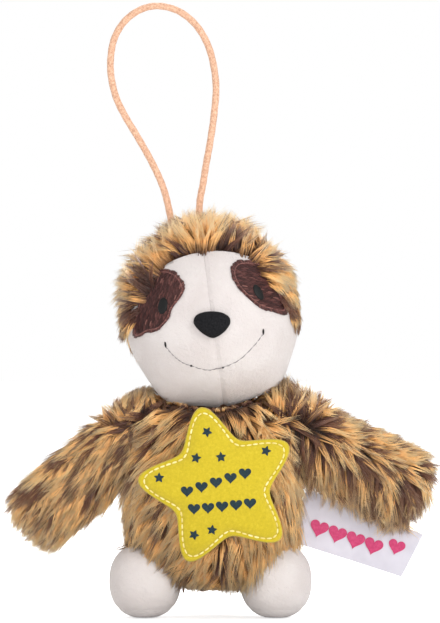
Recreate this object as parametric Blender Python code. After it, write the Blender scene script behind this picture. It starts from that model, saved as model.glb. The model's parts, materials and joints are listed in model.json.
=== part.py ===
# Plush sloth pendant: a small stuffed toy with an elastic loop on its head.
# Metres, +Z up. The sloth faces -Y, so +X is the sloth's own left.
import math

import bmesh
import bpy
from mathutils import Matrix, Vector

# Clearances and fabric
GAP = 0.0003  # between pieces that touch on the real toy
FUR_WALL = 0.0016  # backing cloth and matted pile
NAP_WALL = 0.0012  # backing cloth and short nap
THREAD_THICKNESS = 0.0005

# Head: a ball that turns in a hollow on top of the body
HEAD_RADIUS = 0.0174
HEAD_HEIGHT = 0.0596
HEAD_SHIFT = -0.0002
HEAD_ROLL = math.radians(7.5)
HEAD_FUR = 0.0026
FUR_STARTS_BELOW = math.radians(38)
FUR_FULL_BELOW = math.radians(5)
NECK_THREAD_THICKNESS = 0.0008
NECK_THREAD_RADIUS = 0.0055
NECK_ROOM = NECK_THREAD_THICKNESS + 2 * GAP
CHIN_ROOM_STRETCH = 3  # how far the head's room in the body is drawn out forwards
FACE_SETBACK = 0.0028
FACE_SLOPE = math.radians(31.3)

# Body: an egg that is fuller at the hips
BODY_HALF_WIDTH = 0.0175
BODY_HALF_DEPTH = 0.0150
BODY_WIDEST_HEIGHT = 0.0220
BODY_BOTTOM_HEIGHT = 0.0042
BODY_TOP_HEIGHT = 0.0470
BODY_FULLNESS = 2.3

# Arms
ARM_LENGTH = 0.0325
ARM_RADIUS = 0.0075
ARM_ROOT_RADIUS = 0.0060
ARM_END_LENGTH = 0.0070
ARM_FLATNESS_SHARE = 0.9
SHOULDER_REACH = 0.0140
SHOULDER_HEIGHT = 0.0384
SHOULDER_THREAD_RADIUS = 0.0048
SHOULDER_ROOM = THREAD_THICKNESS + 2 * GAP
ARM_CLEARANCE = 0.0007
ARM_DROOPS = {"left": math.radians(26), "right": math.radians(41.6)}
ARM_SWING = math.radians(15)
ARM_LOWERS = {"left": math.radians(3), "right": math.radians(5)}
ARM_RAISES = {"left": math.radians(50), "right": math.radians(65)}

# Feet
FOOT_HALF_WIDTH = 0.00715
FOOT_HALF_DEPTH = 0.0095
FOOT_HEIGHT = 0.0144
FOOT_FLAT_DEPTH = 0.0005
FOOT_FULLNESS = 2.5
FOOT_SPREAD = 0.01305
FEET_SHIFT = -0.0005
FEET_FORWARD = 0.0015
FOOT_CLEARANCE = 0.0011  # lets a foot flex by 12 degrees
FOOT_THREAD_THICKNESS = 0.0004
FOOT_THREAD_RADIUS = 0.0020
SOLE_THICKNESS = 0.0016

# Eyes, nose and mouth, placed on the unrolled head: across and up from its centre
EYE_PATCH_HALF_LENGTH = 0.0067
EYE_PATCH_HALF_WIDTH = 0.0036
EYE_PATCH_THICKNESS = 0.0005
EYE_PATCH_ACROSS = 0.0101
EYE_PATCH_UP = 0.0048
EYE_PATCH_SLANT = math.radians(54)
PUPIL_HALF_WIDTH = 0.0010
PUPIL_HALF_HEIGHT = 0.0018
PUPIL_THICKNESS = 0.0004
PUPIL_ACROSS = 0.00935
PUPIL_UP = 0.00377
NOSE_HALF_WIDTH = 0.0036
NOSE_HALF_HEIGHT = 0.0026
NOSE_THICKNESS = 0.0016
NOSE_UP = -0.0011
NOSE_CORNER_SHARE = 0.12
MOUTH_HALF_WIDTH = 0.0098
MOUTH_CORNER_UP = -0.0039
MOUTH_DIP = 0.0060
MOUTH_THREAD_THICKNESS = 0.0005

# Star patch of two felt layers
STAR_SHARP_RADIUS = 0.0209  # to where the straight edges would meet
STAR_INNER_RADIUS = 0.00885
STAR_SHARPNESS = 0.82  # below 1, which rounds the tips and the corners between
STAR_LAYER = 0.0010
STAR_HEIGHT = 0.0258
STAR_SHIFT = 0.0008
STAR_LEAN = math.radians(11.7)
STAR_BEND_RADIUS = 0.050
STITCH_INSET = 0.00115
STITCH_THICKNESS = 0.0003

# Side label, sewn into the side seam
LABEL_LENGTH = 0.0240
LABEL_WIDTH = 0.0100
LABEL_THICKNESS = 0.0005
LABEL_SLOPE = math.radians(18)
LABEL_TOP_HEIGHT = 0.0236

# Loop knot, sunk in the head's filling
KNOT_RADIUS = 0.0012
KNOT_DEPTH = 0.0012
KNOT_ACROSS = -0.0055

# Hanging loop: a round elastic cord, listed along its middle from one end to the other
LOOP_DIAMETER = 0.0014
LOOP_STEP = 0.0038
LOOP_ROUTE = (
    (-0.0082, 0.0782), (-0.0090, 0.0822), (-0.0098, 0.0852), (-0.0110, 0.0882),
    (-0.0128, 0.0918), (-0.0152, 0.0960), (-0.0176, 0.1000), (-0.0194, 0.1038),
    (-0.0204, 0.1082), (-0.0204, 0.1122), (-0.0196, 0.1158), (-0.0176, 0.1190),
    (-0.0146, 0.1212), (-0.0112, 0.1220), (-0.0074, 0.1212), (-0.0042, 0.1190),
    (-0.0018, 0.1158), (-0.0002, 0.1116), (0.0006, 0.1060), (0.0002, 0.1002),
    (-0.0006, 0.0946), (-0.0014, 0.0902), (-0.0020, 0.0864), (-0.0026, 0.0832),
    (-0.0028, 0.0798),
)

HEAD_CENTRE = Vector((HEAD_SHIFT, 0, HEAD_HEIGHT))
BODY_CENTRE = Vector((0, 0, BODY_WIDEST_HEIGHT))
REACH = 2 * BODY_TOP_HEIGHT  # wider than any piece that a plane cuts
SIDES = {"left": 1, "right": -1}


def new_scene():
    for obj in list(bpy.data.objects):
        bpy.data.objects.remove(obj, do_unlink=True)
    made = []
    for name in ("plush_sloth", "cutters"):
        collection = bpy.data.collections.new(name)
        bpy.context.scene.collection.children.link(collection)
        made.append(collection)
    return made


TOY, CUTTERS = new_scene()


def material(name, colour, roughness):
    made = bpy.data.materials.new(name)
    made.use_nodes = True
    shader = made.node_tree.nodes["Principled BSDF"]
    shader.inputs["Base Color"].default_value = (*colour, 1)
    shader.inputs["Roughness"].default_value = roughness
    shader.inputs["Metallic"].default_value = 0
    made.diffuse_color = (*colour, 1)
    return made


FUR = material("mottled tan fur", (0.42, 0.25, 0.12), 0.95)
WHITE_NAP = material("white short nap", (0.80, 0.77, 0.75), 0.9)
BROWN_THREAD = material("brown embroidery", (0.09, 0.03, 0.03), 0.5)
BLACK_THREAD = material("black embroidery", (0.01, 0.01, 0.012), 0.5)
GREY_THREAD = material("grey thread", (0.25, 0.23, 0.24), 0.6)
YELLOW_FELT = material("yellow felt", (0.85, 0.65, 0.03), 0.9)
PALE_THREAD = material("pale yellow thread", (0.90, 0.78, 0.25), 0.6)
TAN_THREAD = material("tan sewing thread", (0.45, 0.30, 0.18), 0.7)
SATIN = material("white satin ribbon", (0.82, 0.78, 0.84), 0.35)
ELASTIC = material("peach elastic", (0.72, 0.42, 0.27), 0.6)
STUFFING = material("white stuffing", (0.85, 0.85, 0.83), 1.0)


def add_object(name, mesh, finish=None, parent=None):
    """A mesh object: a piece of the toy where it has a finish, and otherwise a cutter."""
    obj = bpy.data.objects.new(name, mesh)
    (TOY if finish else CUTTERS).objects.link(obj)
    obj.parent = parent
    if finish:
        mesh.materials.append(finish)
        mesh.shade_smooth()
        mesh.set_sharp_from_angle(angle=math.radians(50))
    else:
        obj.hide_render = True
        obj.display_type = "WIRE"
    return obj


def mesh_of(shape, name):
    shape.normal_update()
    bmesh.ops.recalc_face_normals(shape, faces=shape.faces)
    mesh = bpy.data.meshes.new(name)
    shape.to_mesh(mesh)
    shape.free()
    return mesh


def axis_at(name, place, parent=None, turn=(0, 0, 0)):
    empty = bpy.data.objects.new(name, None)
    TOY.objects.link(empty)
    empty.parent = parent
    empty.location = place
    empty.rotation_euler = turn
    return empty


def shaped_sphere(name, segments, rings, place):
    """A mesh of a unit sphere whose points go where place sends them."""
    shape = bmesh.new()
    bmesh.ops.create_uvsphere(shape, u_segments=segments, v_segments=rings, radius=1)
    for point in shape.verts:
        point.co = place(point.co.copy())
    return mesh_of(shape, name)


def full(direction, fullness):
    """Swells a unit sphere's point towards a cylinder with round edges."""
    across = math.hypot(direction.x, direction.y)
    wider = across ** (2 / fullness) / across if across > 1e-6 else 0
    up = math.copysign(abs(direction.z) ** (2 / fullness), direction.z)
    return Vector((direction.x * wider, direction.y * wider, up))


def ball(name, radius, segments=24, rings=14, **where):
    mesh = shaped_sphere(name, segments, rings, lambda point: point * radius)
    return add_object(name, mesh, **where)


def combine(obj, cutters, operation):
    for cutter in cutters:
        step = obj.modifiers.new(cutter.name, "BOOLEAN")
        step.object = cutter
        step.operation = operation
        step.solver = "EXACT"
    return obj


def cut(obj, *cutters):
    return combine(obj, cutters, "DIFFERENCE")


def keep(obj, *cutters):
    return combine(obj, cutters, "INTERSECT")


def half_space(name, direction, start, parent=None):
    """A large block that fills the side of a plane towards which direction points."""
    shape = bmesh.new()
    bmesh.ops.create_cube(shape, size=2 * REACH)
    direction = Vector(direction).normalized()
    turn = direction.to_track_quat("Z", "Y").to_matrix().to_4x4()
    shift = Matrix.Translation(direction * (start + REACH))
    bmesh.ops.transform(shape, matrix=shift @ turn, verts=shape.verts)
    return add_object(name, mesh_of(shape, name), parent=parent)


def ring(name, radius, thickness, place, turn, finish, parent=None):
    """A round of sewing thread."""
    curve = bpy.data.curves.new(name, "CURVE")
    curve.dimensions = "3D"
    curve.bevel_depth = thickness / 2
    curve.bevel_resolution = 1
    spline = curve.splines.new("POLY")
    count = 24
    spline.points.add(count - 1)
    for index, point in enumerate(spline.points):
        angle = math.tau * index / count
        point.co = (radius * math.cos(angle), radius * math.sin(angle), 0, 1)
    spline.use_cyclic_u = True
    curve.materials.append(finish)
    obj = bpy.data.objects.new(name, curve)
    TOY.objects.link(obj)
    obj.location = place
    obj.rotation_euler = turn
    obj.parent = parent
    return obj


def thread(name, points, thickness, finish, parent=None, closed=False, resolution=1):
    """A thread or cord along points."""
    curve = bpy.data.curves.new(name, "CURVE")
    curve.dimensions = "3D"
    curve.bevel_depth = thickness / 2
    curve.bevel_resolution = resolution
    curve.use_fill_caps = not closed
    spline = curve.splines.new("POLY")
    spline.points.add(len(points) - 1)
    for point, place in zip(spline.points, points):
        point.co = (*place, 1)
    spline.use_cyclic_u = closed
    curve.materials.append(finish)
    obj = bpy.data.objects.new(name, curve)
    TOY.objects.link(obj)
    obj.parent = parent
    return obj


# Joint axes
body_base = axis_at("body_base", (0, 0, 0))
head_axis = axis_at("head_axis", HEAD_CENTRE, body_base, (0, -HEAD_ROLL, 0))
shoulder_axes = {}
foot_axes = {}
for side, sign in SIDES.items():
    shoulder = (sign * SHOULDER_REACH, 0, SHOULDER_HEIGHT)
    droop = (0, sign * ARM_DROOPS[side], 0)
    shoulder_axes[side] = axis_at(f"shoulder_axis_{side}", shoulder, body_base, droop)
    foot_middle = FOOT_HEIGHT / 2 - FOOT_FLAT_DEPTH / 2
    ankle = (FEET_SHIFT + sign * FOOT_SPREAD, -FEET_FORWARD, foot_middle)
    foot_axes[side] = axis_at(f"foot_axis_{side}", ankle, body_base)


# Body
def body_mesh(name, shrink, segments=20, rings=12):
    """The body's egg about its widest height, smaller by shrink all round."""
    above = BODY_TOP_HEIGHT - BODY_WIDEST_HEIGHT - shrink
    below = BODY_WIDEST_HEIGHT - BODY_BOTTOM_HEIGHT - shrink

    def place(point):
        point = full(point, BODY_FULLNESS)
        return Vector((
            point.x * (BODY_HALF_WIDTH - shrink),
            point.y * (BODY_HALF_DEPTH - shrink),
            point.z * (above if point.z > 0 else below),
        ))

    return shaped_sphere(name, segments, rings, place)


def foot_mesh(name, shrink, segments=16, rings=10):
    """A foot about its middle, before its sole is cut flat."""
    half_height = (FOOT_HEIGHT + FOOT_FLAT_DEPTH) / 2

    def place(point):
        point = full(point, FOOT_FULLNESS)
        return Vector((
            point.x * (FOOT_HALF_WIDTH - shrink),
            point.y * (FOOT_HALF_DEPTH - shrink),
            point.z * (half_height - shrink),
        ))

    return shaped_sphere(name, segments, rings, place)


def chin_room(point):
    """The head's room in the body, open at the front so that the chin shows."""
    stretch = CHIN_ROOM_STRETCH if point.y < 0 else 1
    return Vector((point.x, point.y * stretch, point.z)) * (HEAD_RADIUS + NECK_ROOM)


head_room = add_object(
    "head_room", shaped_sphere("head_room", 24, 14, chin_room), parent=head_axis
)
limb_rooms = [head_room]
for side in SIDES:
    room_radius = ARM_ROOT_RADIUS + SHOULDER_ROOM
    limb_rooms.append(
        ball(f"arm_root_room_{side}", room_radius, 20, 12, parent=shoulder_axes[side])
    )
    room = foot_mesh(f"foot_room_{side}", -FOOT_CLEARANCE)
    limb_rooms.append(add_object(f"foot_room_{side}", room, parent=foot_axes[side]))

front_half = half_space("front_half", (0, -1, 0), GAP / 2, body_base)
back_half = half_space("back_half", (0, 1, 0), GAP / 2, body_base)
body_hollow = add_object(
    "body_hollow", body_mesh("body_hollow", FUR_WALL), parent=body_base
)
body_hollow.location = BODY_CENTRE
for name, half in (("body_front_fur", front_half), ("body_back_fur", back_half)):
    skin = add_object(name, body_mesh(name, 0), FUR, body_base)
    skin.location = BODY_CENTRE
    keep(skin, half)
    cut(skin, body_hollow, *limb_rooms)
body_filling = add_object(
    "body_filling", body_mesh("body_filling", FUR_WALL + GAP, 16, 10), STUFFING, body_base
)
body_filling.location = BODY_CENTRE
cut(body_filling, *limb_rooms)


# Head
def fur_height(direction):
    """How far the head's fur stands out, from none at the neck to all of it above."""
    elevation = math.asin(max(-1, min(1, direction.z)))
    share = (elevation + FUR_STARTS_BELOW) / (FUR_STARTS_BELOW - FUR_FULL_BELOW)
    share = max(0, min(1, share))
    return HEAD_FUR * share * share * (3 - 2 * share)


def furry(point):
    return point * (HEAD_RADIUS + fur_height(point))


slope = Vector((0, math.cos(FACE_SLOPE), math.sin(FACE_SLOPE)))
fur_side = half_space("fur_side", slope, GAP / 2 - FACE_SETBACK, head_axis)
face_side = half_space("face_side", -slope, GAP / 2 + FACE_SETBACK, head_axis)
head_hollow = ball("head_hollow", HEAD_RADIUS - NAP_WALL, 24, 14, parent=head_axis)
for side, sign in SIDES.items():
    half = half_space(f"head_half_{side}", (sign, 0, 0), GAP / 2, head_axis)
    name = f"head_{side}_fur"
    fur = add_object(name, shaped_sphere(name, 24, 15, furry), FUR, head_axis)
    keep(fur, half, fur_side)
    cut(fur, head_hollow)
    face = ball(f"face_{side}", HEAD_RADIUS, 24, 15, finish=WHITE_NAP, parent=head_axis)
    keep(face, half, face_side)
    cut(face, head_hollow)

filling_radius = HEAD_RADIUS - NAP_WALL - GAP
head_filling = ball(
    "head_filling", filling_radius, 16, 10, finish=STUFFING, parent=head_axis
)
knot_up = math.sqrt((filling_radius - KNOT_DEPTH) ** 2 - KNOT_ACROSS**2)
knot_place = (KNOT_ACROSS, 0, knot_up)
knot_room = ball("knot_room", KNOT_RADIUS + GAP, 12, 8, parent=head_axis)
knot_room.location = knot_place
cut(head_filling, knot_room)
loop_knot = ball("loop_knot", KNOT_RADIUS, 12, 8, finish=ELASTIC, parent=head_axis)
loop_knot.location = knot_place


def on_head(across, up, lift):
    """The point above the face at this place seen from the front."""
    radius = HEAD_RADIUS + lift
    front = Vector((across, -math.sqrt(HEAD_RADIUS**2 - across**2 - up**2), up))
    return front.normalized() * radius


def pad_on_head(name, middle, outline, lift, thickness, finish, segments=20, rings=6):
    """A thin pad bent round the face, from its outline about its middle."""

    def place(point):
        across, up = outline(Vector((point.x, point.y)))
        depth = lift + thickness * (1 + point.z) / 2
        return on_head(middle[0] + across, middle[1] + up, depth)

    mesh = shaped_sphere(name, segments, rings, place)
    return add_object(name, mesh, finish, head_axis)


def turned(across, up, angle):
    cosine, sine = math.cos(angle), math.sin(angle)
    return across * cosine - up * sine, across * sine + up * cosine


pupil_lift = 2 * GAP + EYE_PATCH_THICKNESS
for side, sign in SIDES.items():
    pad_on_head(
        f"eye_patch_{side}",
        (sign * EYE_PATCH_ACROSS, EYE_PATCH_UP),
        lambda point, sign=sign: turned(
            point.x * EYE_PATCH_HALF_LENGTH,
            point.y * EYE_PATCH_HALF_WIDTH,
            -sign * EYE_PATCH_SLANT,
        ),
        GAP,
        EYE_PATCH_THICKNESS,
        BROWN_THREAD,
    )
    pad_on_head(
        f"pupil_{side}",
        (sign * PUPIL_ACROSS, PUPIL_UP),
        lambda point: (point.x * PUPIL_HALF_WIDTH, point.y * PUPIL_HALF_HEIGHT),
        pupil_lift,
        PUPIL_THICKNESS,
        BLACK_THREAD,
        12,
    )


def nose_outline(point):
    """A triangle with round corners, one of them at the bottom."""
    angle = math.atan2(point.y, point.x)
    corner = 1 - NOSE_CORNER_SHARE * math.sin(3 * angle)
    return point.x * NOSE_HALF_WIDTH * corner, point.y * NOSE_HALF_HEIGHT * corner


pad_on_head("nose", (0, NOSE_UP), nose_outline, GAP, NOSE_THICKNESS, BLACK_THREAD, 24, 8)

mouth_points = []
MOUTH_STEPS = 14
for step in range(MOUTH_STEPS + 1):
    share = 2 * step / MOUTH_STEPS - 1
    up = MOUTH_CORNER_UP - MOUTH_DIP * math.cos(share * math.pi / 2)
    lift = GAP + MOUTH_THREAD_THICKNESS / 2
    mouth_points.append(on_head(share * MOUTH_HALF_WIDTH, up, lift))
thread("mouth_stitches", mouth_points, MOUTH_THREAD_THICKNESS, GREY_THREAD, head_axis)

thread_distance = HEAD_RADIUS + NECK_ROOM / 2
neck_drop = math.sqrt(thread_distance**2 - NECK_THREAD_RADIUS**2)
ring(
    "neck_thread",
    NECK_THREAD_RADIUS,
    NECK_THREAD_THICKNESS,
    HEAD_CENTRE - Vector((0, 0, neck_drop)),
    (0, 0, 0),
    TAN_THREAD,
    body_base,
)


# Arms
def arm_mesh(name, sign, shrink, segments=14, rings=12):
    """An arm along X from its root ball at the origin, smaller by shrink all round."""
    root = ARM_ROOT_RADIUS - shrink
    belly = ARM_RADIUS - shrink
    end_start = ARM_LENGTH - ARM_END_LENGTH
    end = ARM_END_LENGTH - shrink
    root_share, end_share = 0.25, 0.72

    def place(point):
        along = 1 - math.acos(max(-1, min(1, point.z))) / math.pi
        if along < root_share:
            turn = along / root_share * math.pi / 2
            reach, radius = -root * math.cos(turn), root * math.sin(turn)
        elif along < end_share:
            part = (along - root_share) / (end_share - root_share)
            reach = end_start * part
            radius = root + (belly - root) * math.sin(part * math.pi / 2)
        else:
            turn = (along - end_share) / (1 - end_share) * math.pi / 2
            reach = end_start + end * math.sin(turn)
            radius = belly * max(0, math.cos(turn)) ** 0.75
        spread = math.hypot(point.x, point.y)
        if spread < 1e-6:
            return Vector((sign * reach, 0, 0))
        flat = 1 - (1 - ARM_FLATNESS_SHARE) * max(0, reach) / ARM_LENGTH
        return Vector((
            sign * reach,
            radius * flat * point.y / spread,
            radius * point.x / spread,
        ))

    return shaped_sphere(name, segments, rings, place)


def body_rooms(side, clearance):
    """The body as the arm meets it at the ends of its swing, lowered and raised."""
    sign = SIDES[side]
    axis = shoulder_axes[side]
    core_radius = ARM_ROOT_RADIUS + SHOULDER_ROOM - GAP
    core = ball(f"arm_core_{side}", core_radius, 20, 12, parent=axis)
    shoulder = Vector((sign * SHOULDER_REACH, 0, SHOULDER_HEIGHT))
    rooms = []
    for swing in (-ARM_SWING, 0, ARM_SWING):
        for lift in (-ARM_LOWERS[side], ARM_RAISES[side]):
            name = f"body_room_{side}_{len(rooms)}"
            room = add_object(name, body_mesh(name, -clearance), parent=axis)
            moved = Matrix.Rotation(swing, 4, "Z") @ Matrix.Rotation(-sign * lift, 4, "Y")
            droop = Matrix.Rotation(sign * ARM_DROOPS[side], 4, "Y")
            place = Matrix.Translation(BODY_CENTRE - shoulder)
            room.matrix_local = droop.inverted() @ moved.inverted() @ place
            rooms.append(cut(room, core))
    return rooms


for side, sign in SIDES.items():
    axis = shoulder_axes[side]
    rooms = body_rooms(side, ARM_CLEARANCE)
    hollow = add_object(
        f"arm_hollow_{side}", arm_mesh(f"arm_hollow_{side}", sign, FUR_WALL), parent=axis
    )
    halves = (("front", (0, -1, 0)), ("back", (0, 1, 0)))
    for label, direction in halves:
        half = half_space(f"arm_{label}_half_{side}", direction, GAP / 2, axis)
        name = f"arm_{side}_{label}_fur"
        skin = add_object(name, arm_mesh(name, sign, 0), FUR, axis)
        keep(skin, half)
        cut(skin, hollow, *rooms)
    name = f"arm_{side}_filling"
    filling = arm_mesh(name, sign, FUR_WALL + GAP, 12, 10)
    cut(add_object(name, filling, STUFFING, axis), *rooms)
    thread_reach = ARM_ROOT_RADIUS + SHOULDER_ROOM / 2
    inwards = math.sqrt(thread_reach**2 - SHOULDER_THREAD_RADIUS**2)
    ring(
        f"shoulder_thread_{side}",
        SHOULDER_THREAD_RADIUS,
        THREAD_THICKNESS,
        (sign * (SHOULDER_REACH - inwards), 0, SHOULDER_HEIGHT),
        (0, math.pi / 2, 0),
        TAN_THREAD,
        body_base,
    )

# Feet
for side in SIDES:
    axis = foot_axes[side]
    ground = -(FOOT_HEIGHT - FOOT_FLAT_DEPTH) / 2
    above_ground = half_space(f"above_ground_{side}", (0, 0, 1), ground, axis)
    seam = ground + SOLE_THICKNESS
    above_seam = half_space(f"above_seam_{side}", (0, 0, 1), seam + GAP, axis)
    below_seam = half_space(f"below_seam_{side}", (0, 0, -1), -seam, axis)
    hollow = add_object(
        f"foot_hollow_{side}", foot_mesh(f"foot_hollow_{side}", NAP_WALL), parent=axis
    )
    name = f"foot_{side}_upper"
    upper = add_object(name, foot_mesh(name, 0), WHITE_NAP, axis)
    keep(upper, above_seam)
    cut(upper, hollow)
    name = f"foot_{side}_sole"
    sole = add_object(name, foot_mesh(name, 0), WHITE_NAP, axis)
    keep(sole, above_ground, below_seam)
    name = f"foot_{side}_filling"
    filling = add_object(name, foot_mesh(name, NAP_WALL + GAP, 14, 9), STUFFING, axis)
    keep(filling, above_seam)
    inwards = -SIDES[side] * (FOOT_HALF_WIDTH + GAP + FOOT_THREAD_THICKNESS / 2)
    ring(
        f"foot_thread_{side}",
        FOOT_THREAD_RADIUS,
        FOOT_THREAD_THICKNESS,
        axis.location + Vector((inwards, 0, 0)),
        (0, math.pi / 2, 0),
        TAN_THREAD,
        body_base,
    )


# Star patch
def star_radius(angle, sharp, inner):
    """The star's outline in polar form, with its tips and corners rounded."""
    half = math.pi / 5
    from_tip = half * math.acos(STAR_SHARPNESS * math.cos(5 * angle)) / math.pi
    return sharp * inner * math.sin(half) / (
        sharp * math.sin(from_tip) + inner * math.sin(half - from_tip)
    )


def bent(across, up, depth):
    """A point of the patch, which bends back from its middle over the belly."""
    return Vector((across, depth + (across**2 + up**2) / (2 * STAR_BEND_RADIUS), up))


def star_mesh(name, back):
    """One felt layer, whose back face's middle is at this depth."""

    def place(point):
        angle = math.atan2(point.y, point.x)
        radius = star_radius(angle, STAR_SHARP_RADIUS, STAR_INNER_RADIUS)
        spread = math.hypot(point.x, point.y) ** 0.6 * radius
        depth = back - STAR_LAYER * (1 + point.z) / 2
        return bent(spread * math.cos(angle), spread * math.sin(angle), depth)

    return shaped_sphere(name, 40, 6, place)


belly = BODY_HALF_DEPTH + 2 * GAP
star_turn = math.pi / 2 + STAR_LEAN
star_axis = axis_at("star_axis", (STAR_SHIFT, 0, STAR_HEIGHT), body_base, (0, -star_turn, 0))
front_back = -belly - STAR_LAYER - GAP
add_object("star_back", star_mesh("star_back", -belly), YELLOW_FELT, star_axis)
add_object("star_front", star_mesh("star_front", front_back), YELLOW_FELT, star_axis)
stitches = []
STITCH_POINTS = 40
for index in range(STITCH_POINTS):
    angle = math.tau * index / STITCH_POINTS
    radius = star_radius(angle, STAR_SHARP_RADIUS, STAR_INNER_RADIUS) - STITCH_INSET
    lift = front_back - STAR_LAYER - GAP - STITCH_THICKNESS / 2
    stitches.append(bent(radius * math.cos(angle), radius * math.sin(angle), lift))
thread("star_stitching", stitches, STITCH_THICKNESS, PALE_THREAD, star_axis, closed=True)

# Side label
label_hinge = axis_at(
    "label_hinge",
    (BODY_HALF_WIDTH + 2 * GAP, 0, LABEL_TOP_HEIGHT),
    body_base,
    (0, LABEL_SLOPE, 0),
)
shape = bmesh.new()
bmesh.ops.create_cube(shape, size=1)
size = Matrix.Diagonal((LABEL_LENGTH, LABEL_THICKNESS, LABEL_WIDTH, 1))
shift = Matrix.Translation((LABEL_LENGTH / 2, 0, -LABEL_WIDTH / 2))
bmesh.ops.transform(shape, matrix=shift @ size, verts=shape.verts)
side_label = add_object("side_label", mesh_of(shape, "side_label"), SATIN, label_hinge)
seam_side = -BODY_HALF_WIDTH - 2 * GAP
label_room = half_space("label_room", (-1, 0, 0), seam_side, body_base)
cut(side_label, label_room)


# Hanging loop
def smooth_route(route, step):
    """Points a step apart along a Catmull-Rom curve through the route."""
    places = [Vector((across, 0, up)) for across, up in route]
    ends = [2 * places[0] - places[1], *places, 2 * places[-1] - places[-2]]
    fine = []
    for a, b, c, d in zip(ends, ends[1:], ends[2:], ends[3:]):
        for part in range(20):
            t = part / 20
            fine.append(
                ((2 * b) + (c - a) * t + (2 * a - 5 * b + 4 * c - d) * t**2
                 + (3 * b - a - 3 * c + d) * t**3) / 2
            )
    fine.append(places[-1])
    lengths = [0.0]
    for before, after in zip(fine, fine[1:]):
        lengths.append(lengths[-1] + (after - before).length)
    count = max(2, round(lengths[-1] / step))
    points = []
    at = 0
    for index in range(count + 1):
        want = lengths[-1] * index / count
        while at < len(fine) - 2 and lengths[at + 1] < want:
            at += 1
        part = (want - lengths[at]) / (lengths[at + 1] - lengths[at])
        points.append(fine[at].lerp(fine[at + 1], min(1, part)))
    return points


thread(
    "hanging_loop",
    smooth_route(LOOP_ROUTE, LOOP_STEP),
    LOOP_DIAMETER,
    ELASTIC,
    body_base,
    resolution=2,
)


# Origin: on the ground, under the middle of the toy without its loop
def toy_bounds():
    bpy.context.view_layer.update()
    graph = bpy.context.evaluated_depsgraph_get()
    places = []
    for obj in TOY.objects:
        if obj.type == "MESH":
            solid = obj.evaluated_get(graph)
            for point in solid.to_mesh().vertices:
                places.append(solid.matrix_world @ point.co)
            solid.to_mesh_clear()
    axes = list(zip(*places))
    return Vector(map(min, axes)), Vector(map(max, axes))


low, high = toy_bounds()
middle = (low + high) / 2
body_base.location = (-middle.x, -middle.y, -low.z)
bpy.context.view_layer.update()
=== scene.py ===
import json
import math

import bmesh
import bpy
import numpy as np
from mathutils import Matrix, Vector, noise


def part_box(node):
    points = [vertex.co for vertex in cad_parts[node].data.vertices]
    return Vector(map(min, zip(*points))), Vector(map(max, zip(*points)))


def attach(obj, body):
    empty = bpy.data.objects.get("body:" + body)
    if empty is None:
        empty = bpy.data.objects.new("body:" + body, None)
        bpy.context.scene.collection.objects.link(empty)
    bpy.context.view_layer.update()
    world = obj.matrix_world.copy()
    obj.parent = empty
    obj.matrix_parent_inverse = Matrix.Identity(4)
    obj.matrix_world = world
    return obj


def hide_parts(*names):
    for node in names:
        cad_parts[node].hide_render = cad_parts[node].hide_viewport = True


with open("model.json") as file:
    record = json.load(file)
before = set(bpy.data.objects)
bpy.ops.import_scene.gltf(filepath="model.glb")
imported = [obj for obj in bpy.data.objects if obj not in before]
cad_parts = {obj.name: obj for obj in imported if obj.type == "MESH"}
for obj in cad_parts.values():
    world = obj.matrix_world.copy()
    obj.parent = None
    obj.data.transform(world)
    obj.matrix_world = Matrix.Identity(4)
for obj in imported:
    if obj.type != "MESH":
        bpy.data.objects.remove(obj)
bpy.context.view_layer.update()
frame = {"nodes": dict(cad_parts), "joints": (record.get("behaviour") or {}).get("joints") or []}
joints = {joint["name"]: joint for joint in frame["joints"]}
head_centre = Vector(joints["head_turn"]["pos_m"])


# Camera and studio: the photograph looks level at the toy's front from some way
# off, over a plain white sheet. The main lamps stand at the upper right and low
# in front, one behind lights the fur's edges, and a weak fill is on the left.
PHOTO_PIXEL = 0.0002
PHOTO_HEIGHT = 623
PHOTO_MIDDLE = (220, 311.5)
PHOTO_CENTRE_LINE = 213
PHOTO_GROUND = 616
middle_x = head_centre.x + 0.0002


def from_photo(px, py):
    """The place across and up of a pixel of the photograph, level with the body's middle."""
    return middle_x + (px - PHOTO_CENTRE_LINE) * PHOTO_PIXEL, (PHOTO_GROUND - py) * PHOTO_PIXEL


camera_data = bpy.data.cameras.new("camera")
camera = bpy.data.objects.new("camera", camera_data)
bpy.context.scene.collection.objects.link(camera)
bpy.context.scene.camera = camera
CAMERA_DISTANCE = 0.90
SENSOR_SIZE = 36
look_x, look_z = from_photo(*PHOTO_MIDDLE)
camera.location = (look_x, -CAMERA_DISTANCE, look_z)
camera.rotation_euler = (math.pi / 2, 0, 0)
camera_data.sensor_width = SENSOR_SIZE
camera_data.lens = SENSOR_SIZE * CAMERA_DISTANCE / (PHOTO_HEIGHT * PHOTO_PIXEL)
camera_data.clip_start = 0.05
camera_data.clip_end = 20

bpy.context.scene.view_settings.view_transform = "Standard"


def studio_material(name, colour, glow_seen):
    """A matt white that the camera sees brighter than its light, so only shadows show."""
    made = bpy.data.materials.new(name)
    made.use_nodes = True
    tree = made.node_tree
    shader = tree.nodes["Principled BSDF"]
    shader.inputs["Base Color"].default_value = (*colour, 1)
    shader.inputs["Roughness"].default_value = 0.9
    shader.inputs["Emission Color"].default_value = (1, 1, 1, 1)
    path = tree.nodes.new("ShaderNodeLightPath")
    amount = tree.nodes.new("ShaderNodeMath")
    amount.operation = "MULTIPLY"
    amount.inputs[1].default_value = glow_seen
    tree.links.new(path.outputs["Is Camera Ray"], amount.inputs[0])
    tree.links.new(amount.outputs[0], shader.inputs["Emission Strength"])
    return made


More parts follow.
